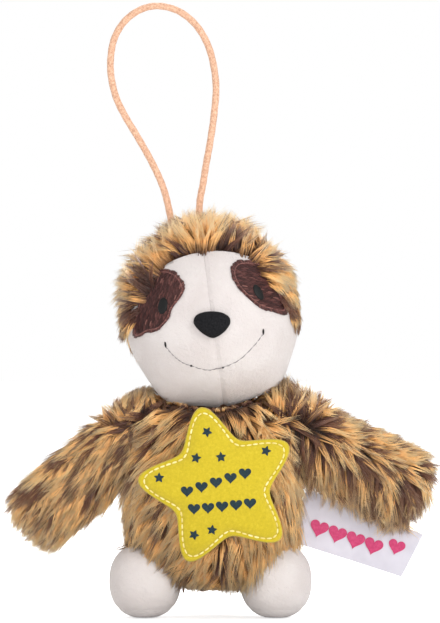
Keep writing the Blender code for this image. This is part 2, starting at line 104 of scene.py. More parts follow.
FLOOR_SIZE = 6
FLOOR_DROP = 0.0002
floor_mesh = bmesh.new()
bmesh.ops.create_grid(floor_mesh, x_segments=2, y_segments=2, size=FLOOR_SIZE / 2)
floor_data = bpy.data.meshes.new("floor")
floor_mesh.to_mesh(floor_data)
floor_mesh.free()
floor = bpy.data.objects.new("floor", floor_data)
bpy.context.scene.collection.objects.link(floor)
floor.location.z = -FLOOR_DROP
floor_data.materials.append(studio_material("white sheet", (0.86, 0.86, 0.86), 0.62))

world = bpy.data.worlds.new("white studio")
bpy.context.scene.world = world
world.use_nodes = True
sky = world.node_tree
plain = sky.nodes["Background"]
plain.inputs["Color"].default_value = (1, 1, 1, 1)
plain.inputs["Strength"].default_value = 0.80
bright = sky.nodes.new("ShaderNodeBackground")
bright.inputs["Color"].default_value = (1, 1, 1, 1)
bright.inputs["Strength"].default_value = 1
seen = sky.nodes.new("ShaderNodeLightPath")
most = sky.nodes.new("ShaderNodeMath")
most.operation = "MAXIMUM"
choice = sky.nodes.new("ShaderNodeMixShader")
sky.links.new(seen.outputs["Is Camera Ray"], most.inputs[0])
sky.links.new(seen.outputs["Is Transmission Ray"], most.inputs[1])
sky.links.new(most.outputs[0], choice.inputs[0])
sky.links.new(plain.outputs[0], choice.inputs[1])
sky.links.new(bright.outputs[0], choice.inputs[2])
sky.links.new(choice.outputs[0], sky.nodes["World Output"].inputs["Surface"])

LAMPS = (
    ("key", (0.50, -0.70, 0.36), 0.35, 2.65),
    ("fill", (-0.50, -0.65, 0.10), 0.50, 0.4),
    ("low front", (0.05, -0.80, 0.02), 0.40, 2.7),
    ("back", (0.00, 0.35, 0.60), 0.30, 2.6),
)
for lamp_name, lamp_place, lamp_size, lamp_watts in LAMPS:
    lamp_data = bpy.data.lights.new(lamp_name, "AREA")
    lamp_data.shape = "DISK"
    lamp_data.size = lamp_size
    lamp_data.energy = lamp_watts
    lamp = bpy.data.objects.new(lamp_name, lamp_data)
    bpy.context.scene.collection.objects.link(lamp)
    lamp.location = lamp_place
    aim = Vector((0, 0, look_z)) - Vector(lamp_place)
    lamp.rotation_euler = aim.to_track_quat("-Z", "Y").to_euler()


# Hanging loop: a round elastic cord, its rubber core covered with a braid of
# peach yarn. Both ends are knotted inside the head and stand out of the seam
# on its crown.
LOOP_DIAMETER = 0.0014
LOOP_ROUTE = (
    (-0.0082, 0.0782), (-0.0090, 0.0822), (-0.0098, 0.0852), (-0.0110, 0.0882),
    (-0.0128, 0.0918), (-0.0152, 0.0960), (-0.0176, 0.1000), (-0.0194, 0.1038),
    (-0.0204, 0.1082), (-0.0204, 0.1122), (-0.0196, 0.1158), (-0.0176, 0.1190),
    (-0.0146, 0.1212), (-0.0112, 0.1220), (-0.0074, 0.1212), (-0.0042, 0.1190),
    (-0.0018, 0.1158), (-0.0002, 0.1116), (0.0006, 0.1060), (0.0002, 0.1002),
    (-0.0006, 0.0946), (-0.0014, 0.0902), (-0.0020, 0.0864), (-0.0026, 0.0832),
    (-0.0028, 0.0798),
)


def smooth_route(route, parts):
    """Points along a Catmull-Rom curve through the route."""
    ends = [2 * route[0] - route[1], *route, 2 * route[-1] - route[-2]]
    points = []
    for a, b, c, d in zip(ends, ends[1:], ends[2:], ends[3:]):
        for part in range(parts):
            t = part / parts
            curve = 2 * b + (c - a) * t + (2 * a - 5 * b + 4 * c - d) * t**2
            points.append((curve + (3 * b - a - 3 * c + d) * t**3) / 2)
    points.append(route[-1])
    return points


def linked(name, mesh, body, material):
    """A finished piece of one material that rides on a body."""
    mesh.materials.append(material)
    made = bpy.data.objects.new(name, mesh)
    bpy.context.scene.collection.objects.link(made)
    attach(made, body)
    return made


def skinned(shape, rings):
    """Faces between rings of vertices, with the first and the last ring filled."""
    for near, far in zip(rings, rings[1:]):
        for index in range(len(near)):
            after = (index + 1) % len(near)
            shape.faces.new((near[index], near[after], far[after], far[index]))
    shape.faces.new(rings[0][::-1])
    shape.faces.new(rings[-1])


def finished(shape, name):
    """A smooth mesh made of a bmesh, its faces turned outwards."""
    shape.normal_update()
    bmesh.ops.recalc_face_normals(shape, faces=shape.faces)
    mesh = bpy.data.meshes.new(name)
    shape.to_mesh(mesh)
    shape.free()
    mesh.shade_smooth()
    return mesh


def swept_tube(name, points, radius, sides, ripple=None):
    """A closed tube along points. ripple gives its radius' share by point and side."""
    shape = bmesh.new()
    rings = []
    for index, point in enumerate(points):
        before = points[max(0, index - 1)]
        after = points[min(len(points) - 1, index + 1)]
        along = (after - before).normalized()
        across = along.cross(Vector((0, 1, 0))).normalized()
        other = along.cross(across)
        circle = bmesh.ops.create_circle(shape, segments=sides, radius=radius)["verts"]
        for side, vert in enumerate(circle):
            angle = math.tau * side / sides
            reach = radius * (ripple(index, side) if ripple else 1)
            vert.co = point + (across * math.cos(angle) + other * math.sin(angle)) * reach
        rings.append(circle)
    skinned(shape, rings)
    return finished(shape, name)


loop_places = [Vector((middle_x + x, head_centre.y, z)) for x, z in LOOP_ROUTE]
first_way = (loop_places[0] - loop_places[1]).normalized()
last_way = (loop_places[-1] - loop_places[-2]).normalized()
LOOP_TAIL = 0.003
loop_places = [
    loop_places[0] + first_way * LOOP_TAIL, *loop_places, loop_places[-1] + last_way * LOOP_TAIL
]
loop_line = smooth_route(loop_places, parts=14)
BRAID_SIDES = 16
BRAID_YARNS = 8
BRAID_TWIST_SHARE = 0.25
BRAID_DEPTH_SHARE = 0.03


def braid(index, side):
    """The yarns of a round braid, which cross in two helices."""
    turn = side / BRAID_SIDES * BRAID_YARNS
    one = math.cos((turn + index * BRAID_TWIST_SHARE) * math.pi)
    other = math.cos((turn - index * BRAID_TWIST_SHARE) * math.pi)
    return 1 + BRAID_DEPTH_SHARE * (max(one, other) - 0.6)


def node(tree, kind, group=None, **inputs):
    """A shader node, or a group's node, with some inputs set by name."""
    made = tree.nodes.new(kind)
    if group:
        made.node_tree = group
    for key, value in inputs.items():
        made.inputs[key.replace("_", " ")].default_value = value
    return made


def ramp_node(tree, *stops):
    """A colour ramp with these (place, colour) stops."""
    made = tree.nodes.new("ShaderNodeValToRGB")
    elements = made.color_ramp.elements
    while len(elements) < len(stops):
        elements.new(0.5)
    for element, (place, colour) in zip(elements, stops):
        element.position = place
        element.color = (*colour, 1)
    return made


# The fine fibres of every cloth here: a noise on the piece's own coordinates, and
# the relief that it gives.
fibre_grain = bpy.data.node_groups.new("fibre grain", "ShaderNodeTree")
GRAIN_INPUTS = (
    ("Scale", 1000.0), ("Detail", 3.0), ("Roughness", 0.5), ("Strength", 0.5), ("Distance", 0.0002)
)
for title, usual in GRAIN_INPUTS:
    socket = fibre_grain.interface.new_socket(title, in_out="INPUT", socket_type="NodeSocketFloat")
    socket.default_value = usual
fibre_grain.interface.new_socket("Grain", in_out="OUTPUT", socket_type="NodeSocketFloat")
fibre_grain.interface.new_socket("Normal", in_out="OUTPUT", socket_type="NodeSocketVector")
given = node(fibre_grain, "NodeGroupInput")
result = node(fibre_grain, "NodeGroupOutput")
place = node(fibre_grain, "ShaderNodeTexCoord")
speckle = node(fibre_grain, "ShaderNodeTexNoise")
relief = node(fibre_grain, "ShaderNodeBump")
for title in ("Scale", "Detail", "Roughness"):
    fibre_grain.links.new(given.outputs[title], speckle.inputs[title])
for title in ("Strength", "Distance"):
    fibre_grain.links.new(given.outputs[title], relief.inputs[title])
fibre_grain.links.new(place.outputs["Object"], speckle.inputs["Vector"])
fibre_grain.links.new(speckle.outputs["Fac"], relief.inputs["Height"])
fibre_grain.links.new(speckle.outputs["Fac"], result.inputs["Grain"])
fibre_grain.links.new(relief.outputs["Normal"], result.inputs["Normal"])


def grain_node(tree, **inputs):
    """The fibre grain in a material, its sizes and its relief set by name."""
    return node(tree, "ShaderNodeGroup", fibre_grain, **inputs)


def cloth_material(name, roughness, sheen=0.0, shine=0.3):
    """A material, its node tree and its shader."""
    made = bpy.data.materials.new(name)
    made.use_nodes = True
    shader = made.node_tree.nodes["Principled BSDF"]
    shader.inputs["Roughness"].default_value = roughness
    shader.inputs["Specular IOR Level"].default_value = shine
    shader.inputs["Sheen Weight"].default_value = sheen
    return made, made.node_tree, shader


def grained_cloth(name, tints, roughness, sheen=0.0, shine=0.3, **grain):
    """A material whose tints follow the fibre grain, and its relief where it has a strength."""
    made, tree, shader = cloth_material(name, roughness, sheen, shine)
    fibres = grain_node(tree, **grain)
    tint = ramp_node(tree, *tints)
    tree.links.new(fibres.outputs["Grain"], tint.inputs["Fac"])
    tree.links.new(tint.outputs["Color"], shader.inputs["Base Color"])
    if "Strength" in grain:
        tree.links.new(fibres.outputs["Normal"], shader.inputs["Normal"])
    return made


elastic = grained_cloth(
    "peach elastic braid",
    ((0.3, (0.50, 0.27, 0.17)), (0.55, (0.74, 0.44, 0.29)), (0.8, (0.86, 0.60, 0.43))),
    roughness=0.55, sheen=0.15, Scale=2600.0, Detail=3.0, Roughness=0.6, Strength=0.5, Distance=0.0001,
)

loop_mesh = swept_tube("hanging_loop_braid", loop_line, LOOP_DIAMETER / 2, BRAID_SIDES, braid)
loop = linked("hanging_loop_braid", loop_mesh, "head", elastic)
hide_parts("hanging_loop")


# Fur: a long-pile knit whose yarns are printed in tan and dark brown. The pile
# stands in tufts that draw together towards pale tips. Every strand is a copy
# of one three-sided spike, bent along its tuft's lie.
def cut_through(shape, centre, direction, clear):
    """Cuts a bmesh in a plane. Clearing it takes off what lies behind and closes the cut."""
    cut = bmesh.ops.bisect_plane(
        shape,
        geom=shape.verts[:] + shape.edges[:] + shape.faces[:],
        plane_co=centre,
        plane_no=direction,
        clear_inner=clear,
    )
    if clear:
        edges = [item for item in cut["geom_cut"] if isinstance(item, bmesh.types.BMEdge)]
        bmesh.ops.contextual_create(shape, geom=edges)


spike = bmesh.new()
bmesh.ops.create_cone(spike, cap_ends=True, segments=3, radius1=1, radius2=1, depth=1)
bmesh.ops.translate(spike, verts=spike.verts, vec=(0, 0, 0.5))
cut_through(spike, (0, 0, 0.45), (0, 0, 1), clear=False)
top = [vert for vert in spike.verts if vert.co.z > 0.99]
bmesh.ops.pointmerge(spike, verts=top, merge_co=(0, 0, 1))
spike.verts.ensure_lookup_table()
spike.verts.index_update()
SPIKE_POINTS = np.array([vert.co for vert in spike.verts])
SPIKE_FACES = [[vert.index for vert in face.verts] for face in spike.faces]
spike.free()


def unit(vectors):
    """Vectors of the same directions and of length one."""
    return vectors / np.maximum(np.linalg.norm(vectors, axis=-1, keepdims=True), 1e-9)


def copies_mesh(name, points, faces):
    """A mesh of copies of one shape. points holds each copy's points, faces the shape's faces."""
    count, steps = points.shape[:2]
    starts = (np.arange(count) * steps)[:, None]
    corners = np.array([index for face in faces for index in face])
    totals = np.tile([len(face) for face in faces], count)
    mesh = bpy.data.meshes.new(name)
    mesh.vertices.add(count * steps)
    mesh.vertices.foreach_set("co", points.astype(np.float32).ravel())
    mesh.loops.add(count * len(corners))
    mesh.loops.foreach_set("vertex_index", (starts + corners[None]).ravel())
    mesh.polygons.add(len(totals))
    mesh.polygons.foreach_set("loop_start", np.concatenate(([0], np.cumsum(totals)[:-1])))
    mesh.update(calc_edges=True)
    mesh.shade_smooth()
    return mesh


STRANDS_A_TUFT = 13
TUFT_DRAW = 0.95
STRAND_TAPER = 0.55
STRAND_FLOOR_ROOM = 0.0003


def pile_mesh(name, tufts, spread, width, seed):
    """A mesh of strands. tufts holds one array a key, with a row a tuft."""
    rng = np.random.default_rng(seed)
    count = len(tufts["root"]) * STRANDS_A_TUFT
    tuft = np.repeat(np.arange(len(tufts["root"])), STRANDS_A_TUFT)
    root, normal, lie = (tufts[key][tuft] for key in ("root", "normal", "lie"))
    length, rise, shade = (tufts[key][tuft][:, None] for key in ("length", "rise", "shade"))
    lie = unit(lie - normal * np.sum(lie * normal, axis=1, keepdims=True))
    side = np.cross(normal, lie)
    angle = rng.uniform(0, math.tau, (count, 1))
    reach = spread * np.sqrt(rng.uniform(0, 1, (count, 1)))
    offset = (lie * np.cos(angle) + side * np.sin(angle)) * reach
    length = length * rng.uniform(0.80, 1.05, (count, 1))
    rise = np.clip(rise + rng.normal(0, 0.04, (count, 1)), 0.03, 0.99)
    flat = np.sqrt(1 - rise**2)
    stray = unit(rng.normal(0, 1, (count, 3))) * length * rng.uniform(0, 0.07, (count, 1))
    end = (normal * rise + lie * flat) * length + stray - offset * TUFT_DRAW
    bend_rise = np.clip(rise + 0.30, 0, 1)
    bend = (normal * bend_rise + lie * np.sqrt(1 - bend_rise**2)) * length * 0.5
    start = root + offset - normal * reach**2 / 0.03
    along = SPIKE_POINTS[:, 2]
    s = along[None, :, None]
    line = start[:, None] + 2 * s * (1 - s) * bend[:, None] + s**2 * end[:, None]
    line[:, :, 2] = np.maximum(line[:, :, 2], STRAND_FLOOR_ROOM)
    tangent = unit(2 * (1 - 2 * s) * bend[:, None] + 2 * s * end[:, None])
    across = unit(np.cross(tangent, normal[:, None] + 0.01))
    other = np.cross(across, tangent)
    thick = width * rng.uniform(0.75, 1.25, (count, 1, 1)) * (1 - STRAND_TAPER * s)
    ring = across * SPIKE_POINTS[None, :, :1] + other * SPIKE_POINTS[None, :, 1:2]
    points = line + ring * thick / 2
    mesh = copies_mesh(name, points, SPIKE_FACES)
    steps = len(SPIKE_POINTS)
    pile = mesh.attributes.new("pile", "FLOAT_COLOR", "POINT")
    colour = np.ones((count, steps, 4), np.float32)
    colour[:, :, 0] = along[None]
    colour[:, :, 1] = np.clip(shade + rng.normal(0, 0.06, (count, 1)), 0, 1)
    colour[:, :, 2] = rng.uniform(0, 1, (count, 1))
    pile.data.foreach_set("color", colour.ravel())
    return mesh


def surface_tufts(place, count, seed):
    """Tufts spread evenly over a form. place gives points from shares round and along it."""
    rng = np.random.default_rng(seed)
    tries = count * 6
    round_share = rng.uniform(0, 1, tries)
    along_share = rng.uniform(0, 1, tries)
    small = 1e-4
    here = place(round_share, along_share)
    side = (place(round_share + small, along_share) - here) / small
    up = (place(round_share, along_share + small) - here) / small
    normal = np.cross(side, up)
    area = np.linalg.norm(normal, axis=1)
    kept = rng.uniform(0, area.max(), tries) < area
    return here[kept][:count], unit(normal[kept])[:count]


def patchy(points, size, stretch, seed):
    """Soft noise from 0 to 1 in patches of this size, drawn out along Z by stretch."""
    shift = Vector((seed * 7.3, seed * 3.1, seed * 5.7))
    scale = Vector((1 / size, 1 / size, 1 / size / stretch))
    values = [
        noise.noise(Vector((p[0] * scale.x, p[1] * scale.y, p[2] * scale.z)) + shift)
        for p in points.tolist()
    ]
    return np.clip(np.array(values) * 1.1 + 0.5, 0, 1)


fur, tree, shader = cloth_material("mottled long pile", 0.38, sheen=0.1, shine=0.5)
pile = node(tree, "ShaderNodeAttribute")
pile.attribute_name = "pile"
parts = node(tree, "ShaderNodeSeparateColor")
pale_strand = ramp_node(
    tree,
    (0.0, (0.140, 0.062, 0.028)),
    (0.20, (0.430, 0.225, 0.082)),
    (0.45, (0.920, 0.565, 0.225)),
    (0.78, (1.000, 0.775, 0.420)),
    (1.0, (1.000, 0.900, 0.660)),
)
dark_strand = ramp_node(
    tree,
    (0.0, (0.042, 0.014, 0.009)),
    (0.45, (0.115, 0.043, 0.026)),
    (0.80, (0.280, 0.138, 0.078)),
    (1.0, (0.640, 0.410, 0.250)),
)
mixed = node(tree, "ShaderNodeMix")
mixed.data_type = "RGBA"
contrast = node(tree, "ShaderNodeMapRange", From_Min=0.26, From_Max=0.48)
fine = grain_node(tree, Scale=420.0, Detail=3.0)
gold = node(tree, "ShaderNodeMix")
gold.data_type = "RGBA"
gold.blend_type = "MULTIPLY"
warm = ramp_node(tree, (0.35, (0.86, 0.72, 0.56)), (0.6, (1.18, 1.00, 0.80)))
tree.links.new(pile.outputs["Color"], parts.inputs[0])
tree.links.new(parts.outputs[0], pale_strand.inputs["Fac"])
tree.links.new(parts.outputs[0], dark_strand.inputs["Fac"])
tree.links.new(parts.outputs[1], contrast.inputs["Value"])
tree.links.new(contrast.outputs[0], mixed.inputs["Factor"])
tree.links.new(dark_strand.outputs["Color"], mixed.inputs[6])
tree.links.new(pale_strand.outputs["Color"], mixed.inputs[7])
tree.links.new(fine.outputs["Grain"], warm.inputs["Fac"])
gold.inputs["Factor"].default_value = 0.6
tree.links.new(mixed.outputs[2], gold.inputs[6])
tree.links.new(warm.outputs["Color"], gold.inputs[7])
tree.links.new(gold.outputs[2], shader.inputs["Base Color"])


def pile_pieces(tufts, choices, body, spread, width, seed):
    """The pile as a piece for each name and choice of its tufts."""
    for name, choose in choices.items():
        some = {key: value[choose] for key, value in tufts.items()}
        linked(name, pile_mesh(name, some, spread, width, seed), body, fur)


backing = grained_cloth(
    "knitted fur backing",
    ((0.3, (0.05, 0.022, 0.014)), (0.7, (0.17, 0.085, 0.045))),
    roughness=0.9, Scale=900.0, Detail=4.0, Strength=0.8, Distance=0.0004,
)


def grid_form(name, place, rounds, steps, keep=()):
    """A closed mesh from a form's function, only the sides kept that face these directions."""
    shape = bmesh.new()
    bmesh.ops.create_uvsphere(shape, u_segments=rounds, v_segments=steps, radius=1)
    shares = []
    for vert in shape.verts:
        spin = math.atan2(vert.co.y, vert.co.x) / math.tau % 1
        rise = 1 - math.acos(max(-1, min(1, vert.co.z))) / math.pi
        shares.append((spin, rise))
    shares = np.array(shares)
    for vert, point in zip(shape.verts, place(shares[:, 0], shares[:, 1])):
        vert.co = point
    for centre, direction in keep:
        cut_through(shape, centre, direction, clear=True)
    return finished(shape, name)


# Body: an egg-shaped bag of the fur, sewn from a front and a back panel and
# stuffed. Its pile is combed down and towards the sloth's right, stands up in
# tufts on the shoulders, and is short in the hollow under the chin. The pile's
# colour holds painted shade under the chin and a painted highlight on the
# sloth's left side, where the key lamp falls.
body_low, body_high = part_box("body_front_fur")
body_back_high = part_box("body_back_fur")[1]
body_middle = Vector((middle_x, (body_low.y + body_back_high.y) / 2, 0.0220))
BODY_HALF_WIDTH = (body_high.x - body_low.x) / 2
BODY_HALF_DEPTH = (body_back_high.y - body_low.y) / 2
BODY_TOP = 0.0250
BODY_BOTTOM = 0.0178
BODY_FULLNESS = 2.3
BODY_SKIN_DEPTH = 0.0018
CHIN_ROOM_RADIUS = 0.0188
NECK_ROOM_RADIUS = 0.0176
COLLAR_RADIUS = 0.0215
CHIN_HALF_WIDTH = 0.0095
CHIN_RIM_HALF_WIDTH = 0.0125
CHIN_RIM_HEIGHT = 0.0080
CHIN_TUFT_LENGTH = 0.0013
LOW_TUFT_ROOM = 0.0038
LOW_TUFT_LENGTH = 0.0030


def body_form(shrink):
    """Points of the body's egg, from shares round it and up it."""

    def place(spin, rise):
        turn = spin * math.tau
        tilt = (np.clip(rise, 0, 1) - 0.5) * math.pi
        across = np.cos(tilt) ** (2 / BODY_FULLNESS)
        up = np.sign(np.sin(tilt)) * np.abs(np.sin(tilt)) ** (2 / BODY_FULLNESS)
        height = np.where(up > 0, BODY_TOP - shrink, BODY_BOTTOM - shrink)
        x = body_middle.x + np.cos(turn) * across * (BODY_HALF_WIDTH - shrink)
        y = body_middle.y + np.sin(turn) * across * (BODY_HALF_DEPTH - shrink)
        z = body_middle.z + up * height
        chin = head_centre.z - np.sqrt(np.maximum(CHIN_ROOM_RADIUS**2 - (x - head_centre.x) ** 2, 0))
        open_share = np.clip((body_middle.y - y) / 0.002, 0, 1)
        z = z - np.maximum(z - chin, 0) * open_share
        return np.stack((x, y, z), axis=1)

    return place


for label, facing in (("front", -1), ("back", 1)):
    halved = [((body_middle.x, body_middle.y, 0), (0, facing, 0))]
    form = body_form(BODY_SKIN_DEPTH)
    mesh = grid_form(f"body_{label}_backing", form, rounds=48, steps=28, keep=halved)
    piece = linked(f"body_{label}_backing", mesh, "body", backing)
    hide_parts(f"body_{label}_fur")

stuffing = grained_cloth(
    "white stuffing",
    ((0.3, (0.72, 0.72, 0.70)), (0.7, (0.86, 0.86, 0.84))),
    roughness=1.0, sheen=0.3, Scale=600.0, Detail=6.0, Strength=1.0, Distance=0.0005,
)
WAD_DEPTH = BODY_SKIN_DEPTH + 0.0006
mesh = grid_form("body_wad", body_form(WAD_DEPTH), rounds=48, steps=28)
wad_piece = linked("body_wad", mesh, "body", stuffing)
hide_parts("body_filling")

root, normal = surface_tufts(body_form(BODY_SKIN_DEPTH), count=2600, seed=11)
away = root - np.array(head_centre)
before = away[:, 1] < 0
under_chin = before & (np.abs(away[:, 0]) < CHIN_HALF_WIDTH)
under_rim = before & (np.abs(away[:, 0]) < CHIN_RIM_HALF_WIDTH)
under_rim &= root[:, 2] > body_middle.z + CHIN_RIM_HEIGHT
head_room = np.where(under_chin, CHIN_ROOM_RADIUS + 0.0003, NECK_ROOM_RADIUS)
clear = np.linalg.norm(away, axis=1) > head_room
root, normal, under_rim = root[clear], normal[clear], under_rim[clear]
on_rim = under_rim & (normal[:, 1] > -0.3)
x_share = (root[:, 0] - body_middle.x) / BODY_HALF_WIDTH
z_share = (root[:, 2] - body_middle.z) / BODY_TOP
lean = np.where(x_share < 0.1, -0.55 + 0.3 * x_share, 0.0)
front = root[:, 1] < body_middle.y
lie = np.stack((lean * front, np.zeros(len(root)), -np.ones(len(root))), axis=1)
beside = np.clip(np.abs(x_share) * 6 - np.where(front, 2.4, 0.6), 0, 1)
shoulder = np.clip((z_share - 0.35) * 3, 0, 1) * beside
outward = np.stack((x_share, np.zeros(len(root)), 0.4 * np.ones(len(root))), axis=1)
lie = lie * (1 - shoulder[:, None]) + outward * shoulder[:, None]
to_head = np.linalg.norm(root - np.array(head_centre), axis=1)
collar = np.clip((COLLAR_RADIUS - to_head) / 0.003, 0, 1)
outward[:, 2] = 0.2
outward[front] = np.stack((0.3 * x_share, 0 * x_share - 1.5, 0 * x_share - 1.5), axis=1)[front]
lie = lie * (1 - collar[:, None]) + outward * collar[:, None]
rise = 0.22 + 0.42 * shoulder + collar * np.where(front, 0.08, 0.3)
low_share = np.clip(-z_share - 0.35, 0, 0.3) / 0.3
over_foot = front * np.clip(np.abs(x_share) * 5 - 1.2, 0, 1) * np.clip(-z_share * 5 - 0.5, 0, 1)
over_foot = over_foot * np.clip(z_share * 6 + 4.8, 0, 1)
low_share = low_share * (1 - over_foot)
rise = rise + 0.10 * over_foot
rng = np.random.default_rng(5)
lie = lie + rng.normal(0, 0.20, lie.shape)
length = rng.uniform(0.0068, 0.0098, len(root))
length = length * (1 - 0.1 * shoulder - 0.2 * collar - 0.35 * low_share + 0.25 * over_foot)
length = np.minimum(length, np.maximum(root[:, 2] - LOW_TUFT_ROOM, LOW_TUFT_LENGTH))
# The short tufts on the rim stand up into the gap under the chin and are painted near black, as
# painted shade.
length = np.where(on_rim, CHIN_TUFT_LENGTH, length)
rise = np.where(on_rim, 0.80, rise)
tufts = {
    "root": root,
    "normal": normal,
    "lie": lie,
    "length": length,
    "rise": np.clip(rise + rng.normal(0, 0.05, len(root)), 0.08, 0.9),
    "shade": patchy(root, size=0.0023, stretch=2.4, seed=1)
    + rng.normal(0.14, 0.19, len(root))
    # Painted highlight: the tufts on the sloth's left side are paler, where the key lamp falls.
    + 0.26 * np.clip(x_share * 2, 0, 1)
    # Painted shade: the front tufts under the chin and the rim's tufts are darker.
    - 0.10 * collar * front
    - 0.60 * on_rim,
}
panels = {"body_front_pile": front, "body_back_pile": ~front}
pile_pieces(tufts, panels, "body", spread=0.00080, width=0.00021, seed=21)


# Head: a ball of four pieces. The fur's two halves meet in a seam over the crown
# and end at the hairline round the face. The pile stands out from the face all
# round, hangs at the sides and is combed down behind.
HEAD_RADIUS = 0.0174
HEAD_ROLL = math.radians(7.5)
FACE_SETBACK = 0.0028
FACE_SLOPE = math.radians(31.3)
head_matrix = Matrix.Translation(head_centre) @ Matrix.Rotation(-HEAD_ROLL, 4, "Y")
face_way = Vector((0, math.cos(FACE_SLOPE), math.sin(FACE_SLOPE)))


def placed(points, matrix):
    """Points moved by a matrix."""
    turn = np.array(matrix.to_3x3())
    return points @ turn.T + np.array(matrix.translation)


def turned(vectors, matrix):
    """Directions turned by a matrix."""
    return vectors @ np.array(matrix.to_3x3()).T


def ball_form(radius):
    """Points of a ball at the origin."""

    def place(spin, rise):
        turn = spin * math.tau
        tilt = (rise - 0.5) * math.pi
        return radius * np.stack(
            (np.cos(turn) * np.cos(tilt), np.sin(turn) * np.cos(tilt), np.sin(tilt)), axis=1
        )

    return place


HEAD_SKIN_RADIUS = 0.0167
HEAD_EDGE_RADIUS = 0.0173
NECK_OPENING = -0.0125
TEMPLE_START = 0.0068
TEMPLE_WIDTH = 0.0040
TEMPLE_SETBACK = 0.0048
PARTING_WIDTH = 0.0014
PARTING_DEPTH = 0.0009
CHEEK_TUFT_LENGTH = 0.0040
setback = -face_way * FACE_SETBACK
for label, sign in (("left", 1), ("right", -1)):
    halved = [((0, 0, 0), (sign, 0, 0)), (setback, face_way)]
    form = ball_form(HEAD_SKIN_RADIUS)
    mesh = grid_form(f"head_{label}_backing", form, rounds=64, steps=40, keep=halved)
    mesh.transform(head_matrix)
    piece = linked(f"head_{label}_backing", mesh, "head", backing)
    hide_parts(f"head_{label}_fur")

root, normal = surface_tufts(ball_form(HEAD_SKIN_RADIUS), count=4600, seed=12)
behind = root @ np.array(face_way) + FACE_SETBACK
low = root[:, 2] < NECK_OPENING
sideways = np.clip((np.abs(root[:, 0]) - TEMPLE_START) / TEMPLE_WIDTH, 0, 1)
behind = behind + TEMPLE_SETBACK * sideways
parting = np.exp(-((root[:, 0] / PARTING_WIDTH) ** 2)) * (root[:, 2] > 0)
behind = behind + PARTING_DEPTH * parting
cheek = (root[:, 2] < 0.0010 - 0.0042 * (root[:, 0] > 0)) & (root[:, 1] < 0.0045)
before_face = root @ np.array(face_way) < -FACE_SETBACK
kept = (behind > 0.0003) & ~low & ~(cheek & before_face)
rear_share = np.clip((root[:, 1] - 0.001) / 0.006, 0, 1)
edge_size = HEAD_EDGE_RADIUS / HEAD_SKIN_RADIUS
root = root * np.where(before_face, edge_size, 1 + 0.055 * rear_share)[:, None]
root, normal, behind, cheek = root[kept], normal[kept], behind[kept], cheek[kept]
x, y, z = root.T
rng = np.random.default_rng(6)
radial = np.stack((x, 0 * x, z - 0.001), axis=1) / HEAD_RADIUS
radial[:, 1] = 0.15
hang = np.clip((np.where(x > 0, 0.011, 0.006) - z) / 0.008, 0, 1) * 1.4
upright = np.clip((x - 0.006) / 0.006, 0, 1) * np.clip((z - 0.010) / 0.003, 0, 1)
radial[:, 2] += upright - hang
radial[:, 0] -= upright * 0.45
rear = np.maximum(np.clip((y - 0.001) / 0.008, 0, 1), np.clip((-0.002 - z) / 0.004, 0, 1))[:, None]
inward = 0.4 - 1.6 * np.clip((0.003 - z) / 0.005, 0, 1)
down_behind = np.stack((inward * x / HEAD_RADIUS, 0 * x + 0.7, 0 * x - 1), axis=1)
lie = radial * (1 - rear) + down_behind * rear
golden = np.exp(-((x / 0.0032) ** 2)) * np.clip((0.0090 - behind) / 0.003, 0, 1) * (z > 0)
lie[:, 0] += 0.5 * np.tanh(x / 0.002) * golden
lie[cheek] = (0, 0.8, -0.6)
lie += rng.normal(0, 0.20, lie.shape)
right_share = np.clip((x - 0.009) / 0.005, 0, 1)
length = rng.uniform(0.0056, 0.0076, len(root))
length = length * (1 - 0.15 * right_share - 0.3 * right_share * (z < 0.008))
low_share = np.clip((-0.001 - z) / 0.004, 0, 1)
length = length * (1 - 0.35 * low_share + 0.10 * np.clip(z / 0.015, 0, 1) ** 2)
length = length * (1 - 0.34 * (x < -0.0138) * np.clip((0.010 - z) / 0.005, 0, 1))
edge_share = np.clip(1 - behind / 0.004, 0, 1)
rise = 0.64 * (1 - 0.20 * x / HEAD_RADIUS - 0.62 * np.abs(x) / HEAD_RADIUS)
rise = rise * (1 - 0.50 * rear[:, 0]) * (1 - 0.6 * np.clip((0.001 - z) / 0.003, 0, 1))
rise = np.where(cheek, 0.06, rise)
length = np.where(cheek, CHEEK_TUFT_LENGTH, length)
tufts = {
    "root": placed(root, head_matrix),
    "normal": turned(normal, head_matrix),
    "lie": turned(lie, head_matrix),
    "length": length,
    "rise": np.clip(rise + rng.normal(0, 0.06, len(root)), 0.06, 0.9),
    "shade": patchy(root, size=0.0034, stretch=1.0, seed=2)
    + rng.normal(0.04, 0.18, len(root))
    - 0.25 * edge_share * (1 - golden)
    + 0.35 * golden,
}
panels = {"head_left_pile": x > 0, "head_right_pile": x <= 0}
pile_pieces(tufts, panels, "head", spread=0.00072, width=0.00020, seed=22)


# Face: two pieces of white short-napped plush, seamed down the middle from the
# hairline under the nose to the chin. The stuffing fills it out round.
nap, tree, shader = cloth_material("white short nap", 0.85, sheen=0.35)
cloud = grain_node(tree, Scale=130.0, Detail=3.0, Strength=0.6, Distance=0.0008)
grain = grain_node(tree, Scale=1500.0, Detail=5.0, Roughness=0.7)
tint = ramp_node(tree, (0.30, (0.66, 0.595, 0.575)), (0.65, (0.73, 0.675, 0.655)))
relief = node(tree, "ShaderNodeBump", Strength=0.9, Distance=0.0004)
tree.links.new(cloud.outputs["Grain"], tint.inputs["Fac"])
tree.links.new(tint.outputs["Color"], shader.inputs["Base Color"])
tree.links.new(cloud.outputs["Normal"], relief.inputs["Normal"])
tree.links.new(grain.outputs["Grain"], relief.inputs["Height"])
tree.links.new(relief.outputs["Normal"], shader.inputs["Normal"])

